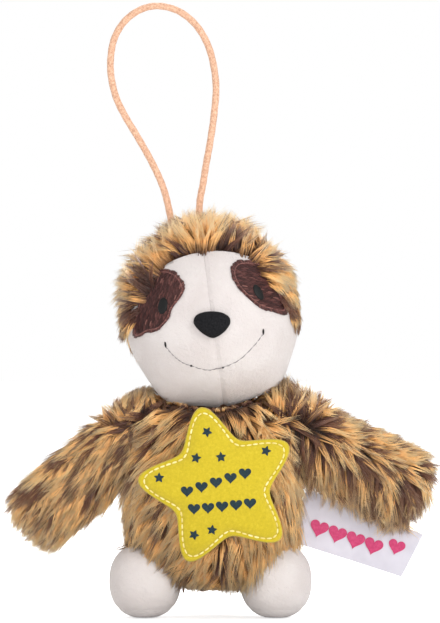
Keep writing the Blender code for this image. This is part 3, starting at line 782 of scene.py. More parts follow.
SEAM_DEPTH = 0.00035
SEAM_WIDTH = 0.0006
CHIN_FULLNESS = 0.0006
JOWL_FULLNESS = 0.0016
for label, sign in (("left", 1), ("right", -1)):
    shape = bmesh.new()
    bmesh.ops.create_uvsphere(shape, u_segments=96, v_segments=64, radius=HEAD_RADIUS)
    bmesh.ops.rotate(shape, verts=shape.verts, matrix=Matrix.Rotation(math.pi / 2, 3, "Y"))
    cuts = [((0, 0, 0), (sign, 0, 0), True), (setback, -face_way, True)]
    cuts += [((sign * step * SEAM_WIDTH, 0, 0), (sign, 0, 0), False) for step in (0.4, 0.9, 1.5, 2.4)]
    for centre, direction, clear in cuts:
        cut_through(shape, centre, direction, clear)
    for vert in shape.verts:
        if vert.co.length > HEAD_RADIUS * 0.99:
            drop = SEAM_DEPTH * math.exp(-((vert.co.x / SEAM_WIDTH) ** 2))
            from_chin = math.degrees(math.atan2(abs(vert.co.x), -vert.co.z))
            outer = max(0, math.hypot(vert.co.x, vert.co.z) / HEAD_RADIUS - 0.6) / 0.4
            outer = outer**2 * min(1, max(0, (0.004 - vert.co.y) / 0.006))
            jowl = JOWL_FULLNESS * math.exp(-(((from_chin - 37) / 15) ** 2))
            chin = CHIN_FULLNESS * math.exp(-((from_chin / 22) ** 2))
            vert.co += vert.co.normalized() * ((jowl + chin) * outer - drop)
    mesh = finished(shape, f"face_{label}_nap")
    mesh.transform(head_matrix)
    piece = linked(f"face_{label}_nap", mesh, "head", nap)
    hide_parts(f"face_{label}")


# Eye patches and pupils: machine embroidery, sewn straight onto the face before
# it was stuffed. Brown stitches, the palest of them painted glints, lie in rows
# inside a ragged border and a ring of rosier stitches, which is a painted
# highlight along the patch's edge. The pupils on top are pads of close black
# stitching.
def on_head(across, up, lift):
    """Points over the face at these places seen from the front."""
    front = np.stack((across, -np.sqrt(HEAD_RADIUS**2 - across**2 - up**2), up), axis=-1)
    return placed(unit(front) * (HEAD_RADIUS + np.asarray(lift)[..., None]), head_matrix)


def head_rings(outline, steps):
    """Rings over the face inside an outline, one for each share of its size and lift."""
    middle = outline.mean(axis=0)
    rings = [(middle + (outline - middle) * share, lift) for share, lift in steps]
    return [on_head(*ring.T, lift) for ring, lift in rings]


def head_place(px, py):
    """The place across and up on the unrolled head of a pixel of the photograph."""
    x, z = from_photo(px, py)
    x, z = x - head_centre.x, z - head_centre.z
    across = x * math.cos(HEAD_ROLL) + z * math.sin(HEAD_ROLL)
    return across, z * math.cos(HEAD_ROLL) - x * math.sin(HEAD_ROLL)


def closed_outline(points, parts):
    """Points along a closed smooth curve through a few."""
    spots = [Vector(point) for point in points]
    count = len(spots)
    line = []
    for index in range(count):
        four = [spots[(index + step) % count] for step in (-1, 0, 1, 2)]
        line += smooth_route([2 * four[0] - four[1]] + four, parts)[2 * parts : 3 * parts]
    return np.array(line)


def inside(points, outline):
    """Which points lie inside an outline."""
    x, y = points.T
    hit = np.zeros(len(points), bool)
    for (ax, ay), (bx, by) in zip(outline, np.roll(outline, -1, axis=0)):
        crosses = (ay > y) != (by > y)
        hit ^= crosses & (x < (bx - ax) * (y - ay) / (by - ay + 1e-12) + ax)
    return hit


def stacked(name, rings):
    """A closed mesh through rings of points, with its first and last ring filled."""
    shape = bmesh.new()
    skinned(shape, [[shape.verts.new(point) for point in ring] for ring in rings])
    return finished(shape, name)


stitch = bmesh.new()
bmesh.ops.create_uvsphere(stitch, u_segments=6, v_segments=6, radius=0.5)
stitch.verts.index_update()
STITCH_POINTS = np.array([vert.co for vert in stitch.verts])
STITCH_FACES = [[vert.index for vert in face.verts] for face in stitch.faces]
stitch.free()


def stitches_mesh(name, starts, ends, normals, width, height, seed):
    """A mesh of stitches from start to end, with the attribute pile of random shades."""
    rng = np.random.default_rng(seed)
    count = len(starts)
    along = ends - starts
    across = unit(np.cross(normals, along))
    thick = width * rng.uniform(0.8, 1.15, (count, 1, 1))
    points = (
        ((starts + ends) / 2)[:, None]
        + STITCH_POINTS[None, :, 2:3] * along[:, None]
        + STITCH_POINTS[None, :, :1] * across[:, None] * thick
        + STITCH_POINTS[None, :, 1:2] * normals[:, None] * height
    )
    mesh = copies_mesh(name, points, STITCH_FACES)
    shade = mesh.attributes.new("pile", "FLOAT_COLOR", "POINT")
    colour = np.ones((count, len(STITCH_POINTS), 4), np.float32)
    colour[:, :, 0] = STITCH_POINTS[None, :, 2] + 0.5
    colour[:, :, 1] = rng.uniform(0, 1, (count, 1))
    shade.data.foreach_set("color", colour.ravel())
    return mesh


def face_stitches(name, starts, ends, lift, width, height, seed):
    """A mesh of stitches over the face, between places seen from the front."""
    from_points, to_points = on_head(*starts.T, lift), on_head(*ends.T, lift)
    ways = unit((from_points + to_points) / 2 - np.array(head_centre))
    return stitches_mesh(name, from_points, to_points, ways, width, height, seed)


def thread_material(name, roughness, *tints):
    """Embroidery thread that varies in colour from stitch to stitch."""
    made, tree, shader = cloth_material(name, roughness)
    shade = node(tree, "ShaderNodeAttribute")
    shade.attribute_name = "pile"
    parts = node(tree, "ShaderNodeSeparateColor")
    tint = ramp_node(tree, *tints)
    twist = grain_node(tree, Scale=5200.0, Detail=2.0, Strength=0.35, Distance=0.00008)
    tree.links.new(shade.outputs["Color"], parts.inputs[0])
    tree.links.new(parts.outputs[1], tint.inputs["Fac"])
    tree.links.new(tint.outputs["Color"], shader.inputs["Base Color"])
    tree.links.new(twist.outputs["Normal"], shader.inputs["Normal"])
    return made


# The brown thread's palest stitches are painted glints, standing for highlights on the satin stitches.
brown = thread_material(
    "brown embroidery",
    0.42,
    (0.0, (0.034, 0.011, 0.010)),
    (0.6, (0.078, 0.026, 0.023)),
    (0.9, (0.130, 0.046, 0.040)),
    (1.0, (0.280, 0.120, 0.100)),
)
# The rosier thread is a painted highlight along the eye patch's raised edge.
rose = thread_material(
    "rose brown embroidery as painted highlight", 0.45, (0.0, (0.15, 0.055, 0.048)), (1.0, (0.34, 0.15, 0.13))
)
black = thread_material(
    "black embroidery", 0.55, (0.0, (0.003, 0.003, 0.003)), (1.0, (0.010, 0.009, 0.009))
)
EYES = {
    "right": (
        (150, 278), (163, 271), (176, 274), (184, 284), (184, 293), (173, 309),
        (170, 318), (160, 329), (148, 332), (137, 337), (135, 328), (140, 307), (144, 293),
    ),
    "left": (
        (231, 272), (236, 263), (251, 262), (264, 266), (275, 278), (279, 293),
        (286, 313), (269, 311), (258, 307), (245, 296), (235, 284),
    ),
}
PUPILS = {"right": ((164.5, 306), 4.6, 8.2, -8), "left": ((257, 293), 3.8, 8.4, 28)}
PATCH_LIFT = 0.00022
PATCH_SUNK = 0.0006
PATCH_REACH = 0.0085
ROW_STEP = 0.00023
STITCH_LENGTH = 0.00118
STITCH_PITCH = 0.00112
ROW_SLANTS = {"left": -18, "right": 64}
RING_SHARES = {"left": 0.88, "right": 0.93}
for label, pixels in EYES.items():
    outline = closed_outline([head_place(*pixel) for pixel in pixels], parts=8)
    middle = outline.mean(axis=0)
    steps = (
        (0.3, -PATCH_SUNK), (1, -PATCH_SUNK), (1, 0.4 * PATCH_LIFT), (0.97, 0.8 * PATCH_LIFT),
        (0.9, PATCH_LIFT), (0.6, PATCH_LIFT), (0.25, PATCH_LIFT),
    )
    mesh = stacked(f"eye_patch_{label}_ground", head_rings(outline, steps))
    ground = linked(f"eye_patch_{label}_ground", mesh, "head", brown)
    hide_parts(f"eye_patch_{label}")

    rng = np.random.default_rng(31)
    way = math.radians(ROW_SLANTS[label])
    row_way = np.array((math.cos(way), math.sin(way)))
    cross_way = np.array((-row_way[1], row_way[0]))
    starts, ends = [], []
    for row, at in enumerate(np.arange(-PATCH_REACH, PATCH_REACH, ROW_STEP)):
        first = -PATCH_REACH + (row % 4) * 0.0004 + rng.uniform(0, 0.0002)
        for begin in np.arange(first, PATCH_REACH, STITCH_PITCH):
            starts.append(middle + row_way * begin + cross_way * at)
            ends.append(middle + row_way * (begin + STITCH_LENGTH) + cross_way * at)
    starts, ends = np.array(starts), np.array(ends)
    within = middle + (outline - middle) * 0.97
    kept = inside(starts, within) & inside(ends, within)
    starts, ends = starts[kept], ends[kept]
    edge_from = middle + (outline - middle) * rng.uniform(0.84, 0.92, (len(outline), 1))
    edge_to = middle + (outline - middle) * rng.uniform(1.0, 1.06, (len(outline), 1))
    fine_from = np.concatenate((edge_from, (edge_from + np.roll(edge_from, 1, axis=0)) / 2))
    fine_to = np.concatenate((edge_to, (edge_to + np.roll(edge_to, 1, axis=0)) / 2))
    starts, ends = np.concatenate((starts, fine_from)), np.concatenate((ends, fine_to))
    name = f"eye_patch_{label}_stitches"
    mesh = face_stitches(name, starts, ends, PATCH_LIFT, ROW_STEP * 1.1, height=0.00026, seed=32)
    linked(name, mesh, "head", brown)

    # A ring of rosier stitches inside the border: a painted highlight along the patch's edge.
    name = f"eye_patch_{label}_ring"
    ring = head_rings(outline, [(RING_SHARES[label], PATCH_LIFT + 0.00006)])[0]
    ways = unit(ring - np.array(head_centre))
    after = np.roll(ring, -1, axis=0)
    mesh = stitches_mesh(name, ring, after, ways, width=0.00024, height=0.00030, seed=35)
    linked(name, mesh, "head", rose)

    (px, py), half_width, half_height, slant = PUPILS[label]
    angle = np.linspace(0, math.tau, 48, endpoint=False)
    lean = math.radians(slant)
    wide, high = np.cos(angle) * half_width, np.sin(angle) * half_height
    right = wide * math.cos(lean) - high * math.sin(lean)
    up = high * math.cos(lean) + wide * math.sin(lean)
    pupil = np.array([head_place(px + dx, py - dy) for dx, dy in zip(right, up)])
    steps = ((0.3, 0), (1, 0), (1, 0.0003), (0.85, 0.00046), (0.5, 0.00052), (0.1, 0.00054))
    mesh = stacked(f"pupil_{label}_stitches", head_rings(pupil, steps))
    pupil_piece = linked(f"pupil_{label}_stitches", mesh, "head", black)
    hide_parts(f"pupil_{label}")


# Nose: a small pad of black short nap, sewn on round its edge over a pinch of
# stuffing, so its middle stands out and its edge is drawn in.
NOSE_PIXELS = (
    (194.5, 322), (197, 315.5), (204, 312.3), (213, 311.5), (222, 312.8), (228.5, 317), (229.5, 323),
    (225.5, 329.5), (219.5, 334.5), (213, 337), (206, 334.5), (198.5, 328.5),
)
NOSE_HEIGHT = 0.0021
black_nap = grained_cloth(
    "black short nap",
    ((0.3, (0.005, 0.005, 0.006)), (0.75, (0.016, 0.016, 0.018))),
    roughness=0.85, shine=0.15, Scale=3000.0, Detail=4.0, Strength=0.6, Distance=0.00015,
)
outline = closed_outline([head_place(*pixel) for pixel in NOSE_PIXELS], parts=8)
steps = (
    (0.4, -0.0008), (0.96, -0.0006), (1, 0.0001), (1, 0.0005), (0.94, 0.0010), (0.82, 0.0015),
    (0.64, 0.0019), (0.42, 0.0020), (0.2, NOSE_HEIGHT), (0.04, NOSE_HEIGHT),
)
mesh = stacked("nose_pad", head_rings(outline, steps))
nose = linked("nose_pad", mesh, "head", black_nap)
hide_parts("nose")


# Mouth: one thin grey thread sewn in an arc under the nose, with dark knot
# stitches at its corners and near its middle, where the thread goes in.
grey = thread_material("grey thread", 0.7, (0.0, (0.26, 0.24, 0.24)), (1.0, (0.44, 0.41, 0.41)))
MOUTH_PIXELS = (
    (166.5, 346), (174, 354.5), (182, 361), (191.7, 365), (207, 369), (217, 367.8),
    (223, 366.5), (239, 359), (254, 344.5), (262.8, 333),
)
mouth_flat = np.array(smooth_route([Vector(head_place(*pixel)) for pixel in MOUTH_PIXELS], parts=12))
sunk = 0.00010 * np.sin(np.arange(len(mouth_flat)) * 1.25) + 0.00001
mouth_line = [Vector(point) for point in on_head(*mouth_flat.T, sunk)]
mesh = swept_tube("mouth_thread", mouth_line, radius=0.00008, sides=8)
mouth = linked("mouth_thread", mesh, "head", grey)
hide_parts("mouth_stitches")
KNOT_PIXELS = (
    ((166, 341), (167, 347)), ((262.4, 328.5), (262.4, 334.5)),
    ((191, 364), (192.6, 365.4)), ((222, 367), (223.8, 366)),
)
starts = np.array([head_place(*begin) for begin, end in KNOT_PIXELS])
ends = np.array([head_place(*end) for begin, end in KNOT_PIXELS])
mesh = face_stitches("mouth_knots", starts, ends, 0.0001, width=0.00042, height=0.0004, seed=33)
linked("mouth_knots", mesh, "head", black)


# Arms: stuffed tubes of the fur with round ends, sewn to the shoulders. The right
# arm's pile is combed along it. The left arm's stands up on top and hangs in
# long tufts below.
ARM_LENGTH = 0.0325
ARM_RADIUS = 0.0075
ARM_ROOT_RADIUS = 0.0060
ARM_END_LENGTH = 0.0070
ARM_FLATNESS_SHARE = 0.9
ARM_SKIN_DEPTH = 0.0018
ARM_PILE_ROOM = 0.0016
ARM_DROOPS = {"left": 26.0, "right": 41.6}
ARM_TOP_TUFTS = {"left": 0.0072, "right": 0.0052}


def arm_form(sign, shrink, end_room):
    """Points of an arm along X from its root ball at the origin, short at its end."""
    root = ARM_ROOT_RADIUS - shrink
    belly = ARM_RADIUS - shrink
    end_start = ARM_LENGTH - ARM_END_LENGTH
    end = ARM_END_LENGTH - shrink - end_room

    def place(spin, rise):
        rise = np.clip(rise, 0, 1)
        turn = rise / 0.25 * math.pi / 2
        part = (rise - 0.25) / 0.47
        last = np.clip((rise - 0.72) / 0.28, 0, 1) * math.pi / 2
        kinds = [rise < 0.25, rise < 0.72]
        reach = np.select(
            kinds, [-root * np.cos(turn), end_start * part], end_start + end * np.sin(last)
        )
        radius = np.select(
            kinds,
            [root * np.sin(turn), root + (belly - root) * np.sin(part * math.pi / 2)],
            belly * np.maximum(0, np.cos(last)) ** 0.75,
        )
        flat = 1 - (1 - ARM_FLATNESS_SHARE) * np.maximum(0, reach) / ARM_LENGTH
        angle = spin * math.tau
        return np.stack(
            (sign * reach, -sign * radius * flat * np.sin(angle), radius * np.cos(angle)), axis=1
        )

    return place


for side, sign in (("left", 1), ("right", -1)):
    shoulder = Vector(joints[f"arm_{side}_raise"]["pos_m"])
    arm_matrix = Matrix.Translation(shoulder) @ Matrix.Rotation(
        sign * math.radians(ARM_DROOPS[side]), 4, "Y"
    )
    form = arm_form(sign, ARM_SKIN_DEPTH, ARM_PILE_ROOM)
    for label, facing in (("front", -1), ("back", 1)):
        halved = [((0, 0, 0), (0, facing, 0))]
        mesh = grid_form(f"arm_{side}_{label}_backing", form, rounds=32, steps=36, keep=halved)
        mesh.transform(arm_matrix)
        piece = linked(f"arm_{side}_{label}_backing", mesh, f"arm_{side}", backing)
        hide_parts(f"arm_{side}_{label}_fur")

    root, normal = surface_tufts(form, count=2300, seed=13 + sign)
    kept = root[:, 0] * sign > -0.002
    root, normal = root[kept], normal[kept]
    rng = np.random.default_rng(7 + sign)
    world_root = placed(root, arm_matrix)
    world_normal = turned(normal, arm_matrix)
    count = len(root)
    top_share = np.clip(world_normal[:, 2] * 1.5, 0, 1)[:, None]
    out_share = np.clip(root[:, 0] * sign / ARM_LENGTH, 0, 1)
    if side == "right":
        along = turned(np.array((sign, 0.0, -0.22)), arm_matrix)
        lie = along - np.clip(-world_normal[:, 2:], 0, 1) * np.array((0.0, 0.0, 0.7))
        length = rng.uniform(0.0060, 0.0088, count) * (1 - 0.35 * out_share**4)
        rise = 0.16 + 0 * length
        shade = patchy(root[:, ::-1], size=0.0021, stretch=2.4, seed=3)
        shade = shade + 0.07 - 0.22 * top_share[:, 0]
    else:
        hang = np.array((0.06, 0.0, -1.0))
        fluff = turned(np.array((0.7, -0.1, 0.5)), arm_matrix)
        lie = hang * (1 - top_share) + fluff * top_share
        length = rng.uniform(0.0070, 0.0108, count) * (1 - 0.42 * top_share[:, 0])
        length = length * (1 - 0.15 * out_share**4)
        rise = 0.20 + 0.14 * top_share[:, 0]
        shade = patchy(world_root, size=0.0021, stretch=2.2, seed=4) - 0.07
    near_top = top_share[:, 0] * np.clip((0.008 - root[:, 0] * sign) / 0.006, 0, 1)
    away = np.array((-0.35 * sign, 0.0, 1.0))
    lie = lie * (1 - near_top[:, None]) + away * near_top[:, None]
    length = length * (1 - near_top) + ARM_TOP_TUFTS[side] * near_top
    rise = rise + 0.30 * near_top
    lie = lie + rng.normal(0, 0.19, lie.shape)
    tufts = {
        "root": world_root,
        "normal": world_normal,
        "lie": lie,
        "length": length,
        "rise": np.clip(rise + rng.normal(0, 0.05, count), 0.05, 0.9),
        "shade": shade + rng.normal(0, 0.22, count),
    }
    before = root[:, 1] < 0
    panels = {f"arm_{side}_front_pile": before, f"arm_{side}_back_pile": ~before}
    pile_pieces(tufts, panels, f"arm_{side}", spread=0.00080, width=0.00021, seed=23)


# Feet: stuffed stubs of the white plush with a flat sole panel, seamed round its
# edge and sewn on under the body.
FOOT_FULLNESS = 2.3
FOOT_HEIGHT = 0.0144
FOOT_FORM_HEIGHT = 0.0149
SOLE_GROOVE_DEPTH = 0.00015
SOLE_GROOVE_WIDTH = 0.0004
for side in ("left", "right"):
    low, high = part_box(f"foot_{side}_upper")
    middle = Vector(((low.x + high.x) / 2, (low.y + high.y) / 2, FOOT_HEIGHT / 2))
    half = Vector(((high.x - low.x) / 2, (high.y - low.y) / 2, FOOT_FORM_HEIGHT / 2))
    seam_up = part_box(f"foot_{side}_sole")[1].z + 0.0002

    def foot_form(spin, rise):
        """Points of a foot, flat under its sole and drawn in at the sole's seam."""
        turn = spin * math.tau
        tilt = (rise - 0.5) * math.pi
        flat = 2 / FOOT_FULLNESS
        wide = np.cos(tilt) ** flat
        x = np.sign(np.cos(turn)) * np.abs(np.cos(turn)) ** flat * wide * half.x
        y = np.sign(np.sin(turn)) * np.abs(np.sin(turn)) ** flat * wide * half.y
        z = np.sign(np.sin(tilt)) * np.abs(np.sin(tilt)) ** flat * half.z
        z = np.maximum(z + middle.z, 0.0)
        groove = SOLE_GROOVE_DEPTH * np.exp(-(((z - seam_up) / SOLE_GROOVE_WIDTH) ** 2))
        grow = 1 - groove / half.x
        return np.stack((middle.x + x * grow, middle.y + y * grow, z), axis=1)

    for label, direction in (("upper", 1), ("sole", -1)):
        name = f"foot_{side}_{label}_nap"
        halved = [((0, 0, seam_up), (0, 0, direction))]
        mesh = grid_form(name, foot_form, rounds=64, steps=56, keep=halved)
        piece = linked(name, mesh, f"foot_{side}", nap)
        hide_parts(f"foot_{side}_{label}")


# Star patch: two layers of yellow felt, sewn together and to the belly by a row
# of pale stitches a little inside the edge, which draws a groove. Small navy
# stars and hearts are printed on it.
STAR_SHARP_RADIUS = 0.0243
STAR_INNER_RADIUS = 0.0087
STAR_SHARPNESS = 0.70
STAR_BEND_RADIUS = 0.050
STAR_LEAN = math.radians(13.2)
STAR_SHIFT = 0.0012
STAR_HEIGHT = 0.0265
STITCH_INSET = 0.00115
star_middle = Vector((middle_x + STAR_SHIFT, body_middle.y, STAR_HEIGHT))
star_turn = Matrix.Rotation(-(math.pi / 2 + STAR_LEAN), 4, "Y")
star_matrix = Matrix.Translation(star_middle) @ star_turn


def star_radius(angle):
    """The star's outline in polar form, with its tips and corners rounded."""
    half = math.pi / 5
    from_tip = half * np.arccos(STAR_SHARPNESS * np.cos(5 * angle)) / math.pi
    return STAR_SHARP_RADIUS * STAR_INNER_RADIUS * math.sin(half) / (
        STAR_SHARP_RADIUS * np.sin(from_tip) + STAR_INNER_RADIUS * np.sin(half - from_tip)
    )


STAR_FACE_DEPTH = -0.0178
STAR_PUFF = 0.0004
STAR_EDGE_DROP = 0.0005
STAR_EDGE_ROUNDING = 0.00025
STAR_RIPPLE = 0.00012
GROOVE_DEPTH = 0.0003
GROOVE_WIDTH = 0.0003


def star_face(across, up, lift):
    """Points this far above the patch's front, at these places on it."""
    angle = np.arctan2(up, across)
    from_edge = np.maximum(star_radius(angle) - np.hypot(across, up), 0)
    height = -STAR_EDGE_DROP * np.exp(-from_edge / STAR_EDGE_ROUNDING)
    height = height + STAR_PUFF * np.clip((from_edge - 0.0012) / 0.0020, 0, 1)
    height = height - GROOVE_DEPTH * np.exp(-(((from_edge - STITCH_INSET) / GROOVE_WIDTH) ** 2))
    ripple = np.sin(across * 900 + 1.0) * np.sin(up * 760 + 0.4) * STAR_RIPPLE
    depth = STAR_FACE_DEPTH - height - ripple - lift + (across**2 + up**2) / (2 * STAR_BEND_RADIUS)
    return placed(np.stack((across, depth, up), axis=-1), star_matrix)


felt = grained_cloth(
    "yellow felt",
    ((0.30, (0.48, 0.365, 0.009)), (0.55, (0.58, 0.44, 0.014)), (0.75, (0.66, 0.53, 0.040))),
    roughness=0.8, sheen=0.25, Scale=1700.0, Detail=6.0, Roughness=0.75, Strength=0.5, Distance=0.0002,
)
angles = np.linspace(0, math.tau, 240, endpoint=False)
edge = star_radius(angles)


def flat_star(share, depth):
    """A ring of the patch's layers at a plain depth."""
    across, up = edge * share * np.cos(angles), edge * share * np.sin(angles)
    full_depth = depth + (across**2 + up**2) / (2 * STAR_BEND_RADIUS)
    return placed(np.stack((across, full_depth, up), axis=-1), star_matrix)


STAR_INSETS = (
    0, 0.0001, 0.00025, 0.00045, 0.0007, 0.0009, 0.00105,
    0.0012, 0.0014, 0.0017, 0.0021, 0.0026, 0.0032, 0.0042,
)
STAR_SHARES = (0.8, 0.65, 0.5, 0.35, 0.2, 0.05)
FRONT_LAYER = ((0.1, -0.0169), (1.0, -0.0169))
BACK_LAYER = (
    (0.1, -0.0156), (0.97, -0.0156), (0.98, -0.0159),
    (0.98, -0.0166), (0.97, -0.01685), (0.1, -0.01685),
)
front_rings = [flat_star(share, depth) for share, depth in FRONT_LAYER]
back_rings = [flat_star(share, depth) for share, depth in BACK_LAYER]
radii = [edge - inset for inset in STAR_INSETS]
radii += [radii[-1] * share for share in STAR_SHARES]
for radius in radii:
    front_rings.append(star_face(radius * np.cos(angles), radius * np.sin(angles), 0))
for label, rings in (("front", front_rings), ("back", back_rings)):
    mesh = stacked(f"star_{label}_felt", rings)
    piece = linked(f"star_{label}_felt", mesh, "body", felt)
    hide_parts(f"star_{label}")

STITCH_STEP = 0.00125
STITCH_SHARE = 0.84
STITCH_LIFT = 0.00010
pale = thread_material("pale yellow thread", 0.5, (0.0, (0.78, 0.66, 0.22)), (1.0, (0.95, 0.86, 0.42)))
walk = np.linspace(0, math.tau, 4001)
walk_radius = star_radius(walk) - STITCH_INSET
walk_points = np.stack((walk_radius * np.cos(walk), walk_radius * np.sin(walk)), axis=1)
steps = np.linalg.norm(np.diff(walk_points, axis=0), axis=1)
lengths = np.concatenate(([0], np.cumsum(steps)))
dash_count = round(lengths[-1] / STITCH_STEP)
begin = np.arange(dash_count) * lengths[-1] / dash_count
finish_at = begin + lengths[-1] / dash_count * STITCH_SHARE


def at_walk(distance):
    """Places at these distances along the stitched line."""
    return np.stack([np.interp(distance, lengths, walk_points[:, axis]) for axis in (0, 1)], axis=1)


from_points = star_face(*at_walk(begin).T, STITCH_LIFT)
to_points = star_face(*at_walk(finish_at).T, STITCH_LIFT)
ways = np.repeat(np.array([[0.0, -1.0, 0.0]]), dash_count, axis=0)
name = "star_edge_stitches"
mesh = stitches_mesh(name, from_points, to_points, ways, width=0.00042, height=0.00032, seed=34)
piece = linked(name, mesh, "body", pale)
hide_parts("star_stitching")

ink = grained_cloth(
    "navy print",
    ((0.35, (0.006, 0.020, 0.030)), (0.8, (0.018, 0.044, 0.054))),
    roughness=0.7, Scale=2400.0, Detail=4.0,
)
star_back = star_matrix.inverted()


def star_place(px, py):
    """The place on the patch of a pixel of the photograph."""
    x, z = from_photo(px, py)
    nearer = (CAMERA_DISTANCE + STAR_FACE_DEPTH) / CAMERA_DISTANCE
    x, z = look_x + (x - look_x) * nearer, look_z + (z - look_z) * nearer
    spot = star_back @ Vector((x, star_matrix.translation.y, z))
    return np.array((spot.x, spot.z))


def star_motif():
    """The outline of a small five-pointed star, one unit across its radius."""
    turn = np.arange(40) * math.tau / 40
    from_tip = np.abs((turn + math.tau / 10) % (math.tau / 5) - math.tau / 10) / (math.tau / 10)
    radius = 1 / (1 + 0.95 * from_tip)
    return np.stack((np.sin(turn) * radius, np.cos(turn) * radius), axis=1)


def heart_motif():
    """The outline of a heart, one unit from its middle to its point."""
    turn = np.arange(40) * math.tau / 40
    x = 16 * np.sin(turn) ** 3
    z = 13 * np.cos(turn) - 5 * np.cos(2 * turn) - 2 * np.cos(3 * turn) - np.cos(4 * turn)
    return np.stack((x, z), axis=1) / 17


PRINT_THICKNESS = 0.00004


def printed(name, outlines, surface, body, material, thickness=PRINT_THICKNESS):
    """Thin printed shapes as one piece on a surface."""
    shape = bmesh.new()
    steps = ((0.2, -thickness), (1, -thickness), (1, thickness), (0.5, thickness), (0.15, thickness))
    for outline in outlines:
        centre = outline.mean(axis=0)
        rings = [(centre + (outline - centre) * share, lift) for share, lift in steps]
        skinned(shape, [[shape.verts.new(p) for p in surface(*ring.T, lift)] for ring, lift in rings])
    mesh = finished(shape, name)
    mesh.shade_flat()
    return linked(name, mesh, body, material)


def plane_turn(angle):
    """A turn in the patch's plane."""
    return np.array(((math.cos(angle), -math.sin(angle)), (math.sin(angle), math.cos(angle))))


STAR_SPOTS = ((207, 432), (196, 458), (221, 457), (266, 451), (159, 478), (194, 535), (212, 530))
HEART_ROWS = (
    ((187, 491), (201.5, 486.5), (216, 482), (230.5, 477.5), (245, 473)),
    ((194, 508.5), (208, 507.5), (222, 506), (236, 504.5), (250, 503)),
)
STAR_PRINT_RADIUS = 0.00108
HEART_PRINT_RADIUS = 0.00130
upright_print = plane_turn(math.pi / 2 + STAR_LEAN)
outlines = []
for index, spot in enumerate(STAR_SPOTS):
    rock = plane_turn(math.radians(index * 17 % 40 - 20))
    outlines.append(star_place(*spot) + star_motif() @ rock.T @ upright_print.T * STAR_PRINT_RADIUS)
for row in HEART_ROWS:
    for spot in row:
        outlines.append(star_place(*spot) + heart_motif() @ upright_print * HEART_PRINT_RADIUS)
printed("star_print", outlines, star_face, "body", ink)


# Side label: a ribbon of white satin folded into the side seam. It stands out
# stiffly and sags a little at its free end. Pink hearts are printed on it.
satin, tree, shader = cloth_material("white satin", 0.45)
place = node(tree, "ShaderNodeTexCoord")
weave = node(tree, "ShaderNodeTexWave", Scale=2200.0, Distortion=0.6)
cloud = grain_node(tree, Scale=260.0, Detail=2.0)
tint = ramp_node(tree, (0.3, (0.575, 0.555, 0.625)), (0.7, (0.66, 0.64, 0.71)))
relief = node(tree, "ShaderNodeBump", Strength=0.12, Distance=0.00008)
tree.links.new(place.outputs["Object"], weave.inputs["Vector"])
tree.links.new(cloud.outputs["Grain"], tint.inputs["Fac"])
tree.links.new(tint.outputs["Color"], shader.inputs["Base Color"])
tree.links.new(weave.outputs["Fac"], relief.inputs["Height"])
tree.links.new(relief.outputs["Normal"], shader.inputs["Normal"])
pink = grained_cloth(
    "pink print",
    ((0.35, (0.50, 0.032, 0.125)), (0.8, (0.62, 0.065, 0.19))),
    roughness=0.5, Scale=2000.0, Detail=3.0,
)

LABEL_LENGTH = 0.0240
LABEL_WIDTH = 0.0100
LABEL_HALF_THICKNESS = 0.00012
LABEL_SLANT = 0.0015
LABEL_LIFT = 0.0019
LABEL_SLOPE = math.radians(18)
LABEL_TOP_EXTRA = 0.0008
LABEL_HEART = 0.0020
LABEL_HEART_STEP = 0.0038
LABEL_PRINT_THICKNESS = 0.00022
label_pin = Vector(joints["label_flap"]["pos_m"])
label_matrix = Matrix.Translation(label_pin) @ Matrix.Rotation(LABEL_SLOPE, 4, "Y")


def label_face(across, up, lift):
    """Points this far in front of the label's middle layer, at these places on it."""
    share = across / LABEL_LENGTH
    wave = 0.0006 * np.sin(share * 4.2) * share - 0.0010 * share**2
    curl = 0.0004 * np.sin(up * 400) * share
    return placed(np.stack((across, wave + curl - lift, up), axis=-1), label_matrix)


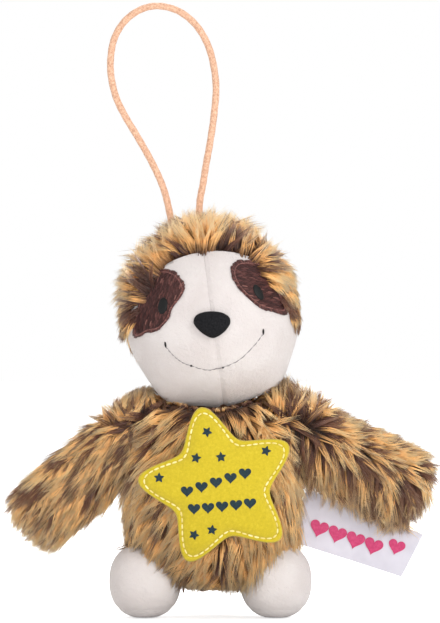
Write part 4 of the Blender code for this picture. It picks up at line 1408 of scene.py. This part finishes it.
shape = bmesh.new()
bmesh.ops.create_grid(shape, x_segments=60, y_segments=24, size=0.5)
for vert in shape.verts:
    down, along = 0.5 - vert.co.y, vert.co.x + 0.5
    across = along * (LABEL_LENGTH + LABEL_TOP_EXTRA - down * LABEL_SLANT)
    up = LABEL_LIFT * (1 - 0.7 * along) - down * LABEL_WIDTH * (1.07 - 0.15 * along)
    vert.co = Vector(label_face(np.array(across), np.array(up), 0))
bmesh.ops.solidify(shape, geom=shape.faces[:], thickness=LABEL_HALF_THICKNESS * 2)
mesh = finished(shape, "side_label_ribbon")
mesh.set_sharp_from_angle(angle=math.radians(40))
ribbon = linked("side_label_ribbon", mesh, "label", satin)
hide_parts("side_label")
outlines = [np.array((0.0206, -0.0034)) + heart_motif() * 0.0018]
for index in range(4):
    spot = np.array((0.0048 + index * LABEL_HEART_STEP, -0.0047))
    outlines.append(spot + heart_motif() * LABEL_HEART)
printed("side_label_print", outlines, label_face, "label", pink, LABEL_PRINT_THICKNESS)


# Hidden pieces: the stuffing is a loose white wad, and the limbs and the head
# are held by rounds of strong brown sewing thread. The loop's knot lies inside
# the head.
sewing = grained_cloth(
    "brown sewing thread",
    ((0.3, (0.10, 0.045, 0.022)), (0.7, (0.20, 0.10, 0.055))),
    roughness=0.6, Scale=3500.0, Detail=3.0, Strength=0.7, Distance=0.0001,
)
NECK_THREAD_TURNS = 2
NECK_THREAD_TURN_RADIUS = 0.0042
neck_low, neck_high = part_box("neck_thread")
neck_middle = (neck_low + neck_high) / 2
neck_line = []
for turn in np.linspace(0, NECK_THREAD_TURNS * math.tau, 97):
    around = Vector((math.cos(turn), math.sin(turn), 0)) * NECK_THREAD_TURN_RADIUS
    neck_line.append(neck_middle + around + Vector((0, 0.0008, (turn / math.tau - 1) * 0.0005)))
mesh = swept_tube("neck_thread_rounds", neck_line, radius=0.00022, sides=8)
rounds = linked("neck_thread_rounds", mesh, "neck", sewing)
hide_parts("neck_thread")
for name, piece in frame["nodes"].items():
    if name.endswith("_filling"):
        dress = stuffing
    elif "_thread" in name:
        dress = sewing
    elif name == "loop_knot":
        dress = elastic
    else:
        continue
    piece.data.materials.clear()
    piece.data.materials.append(dress)
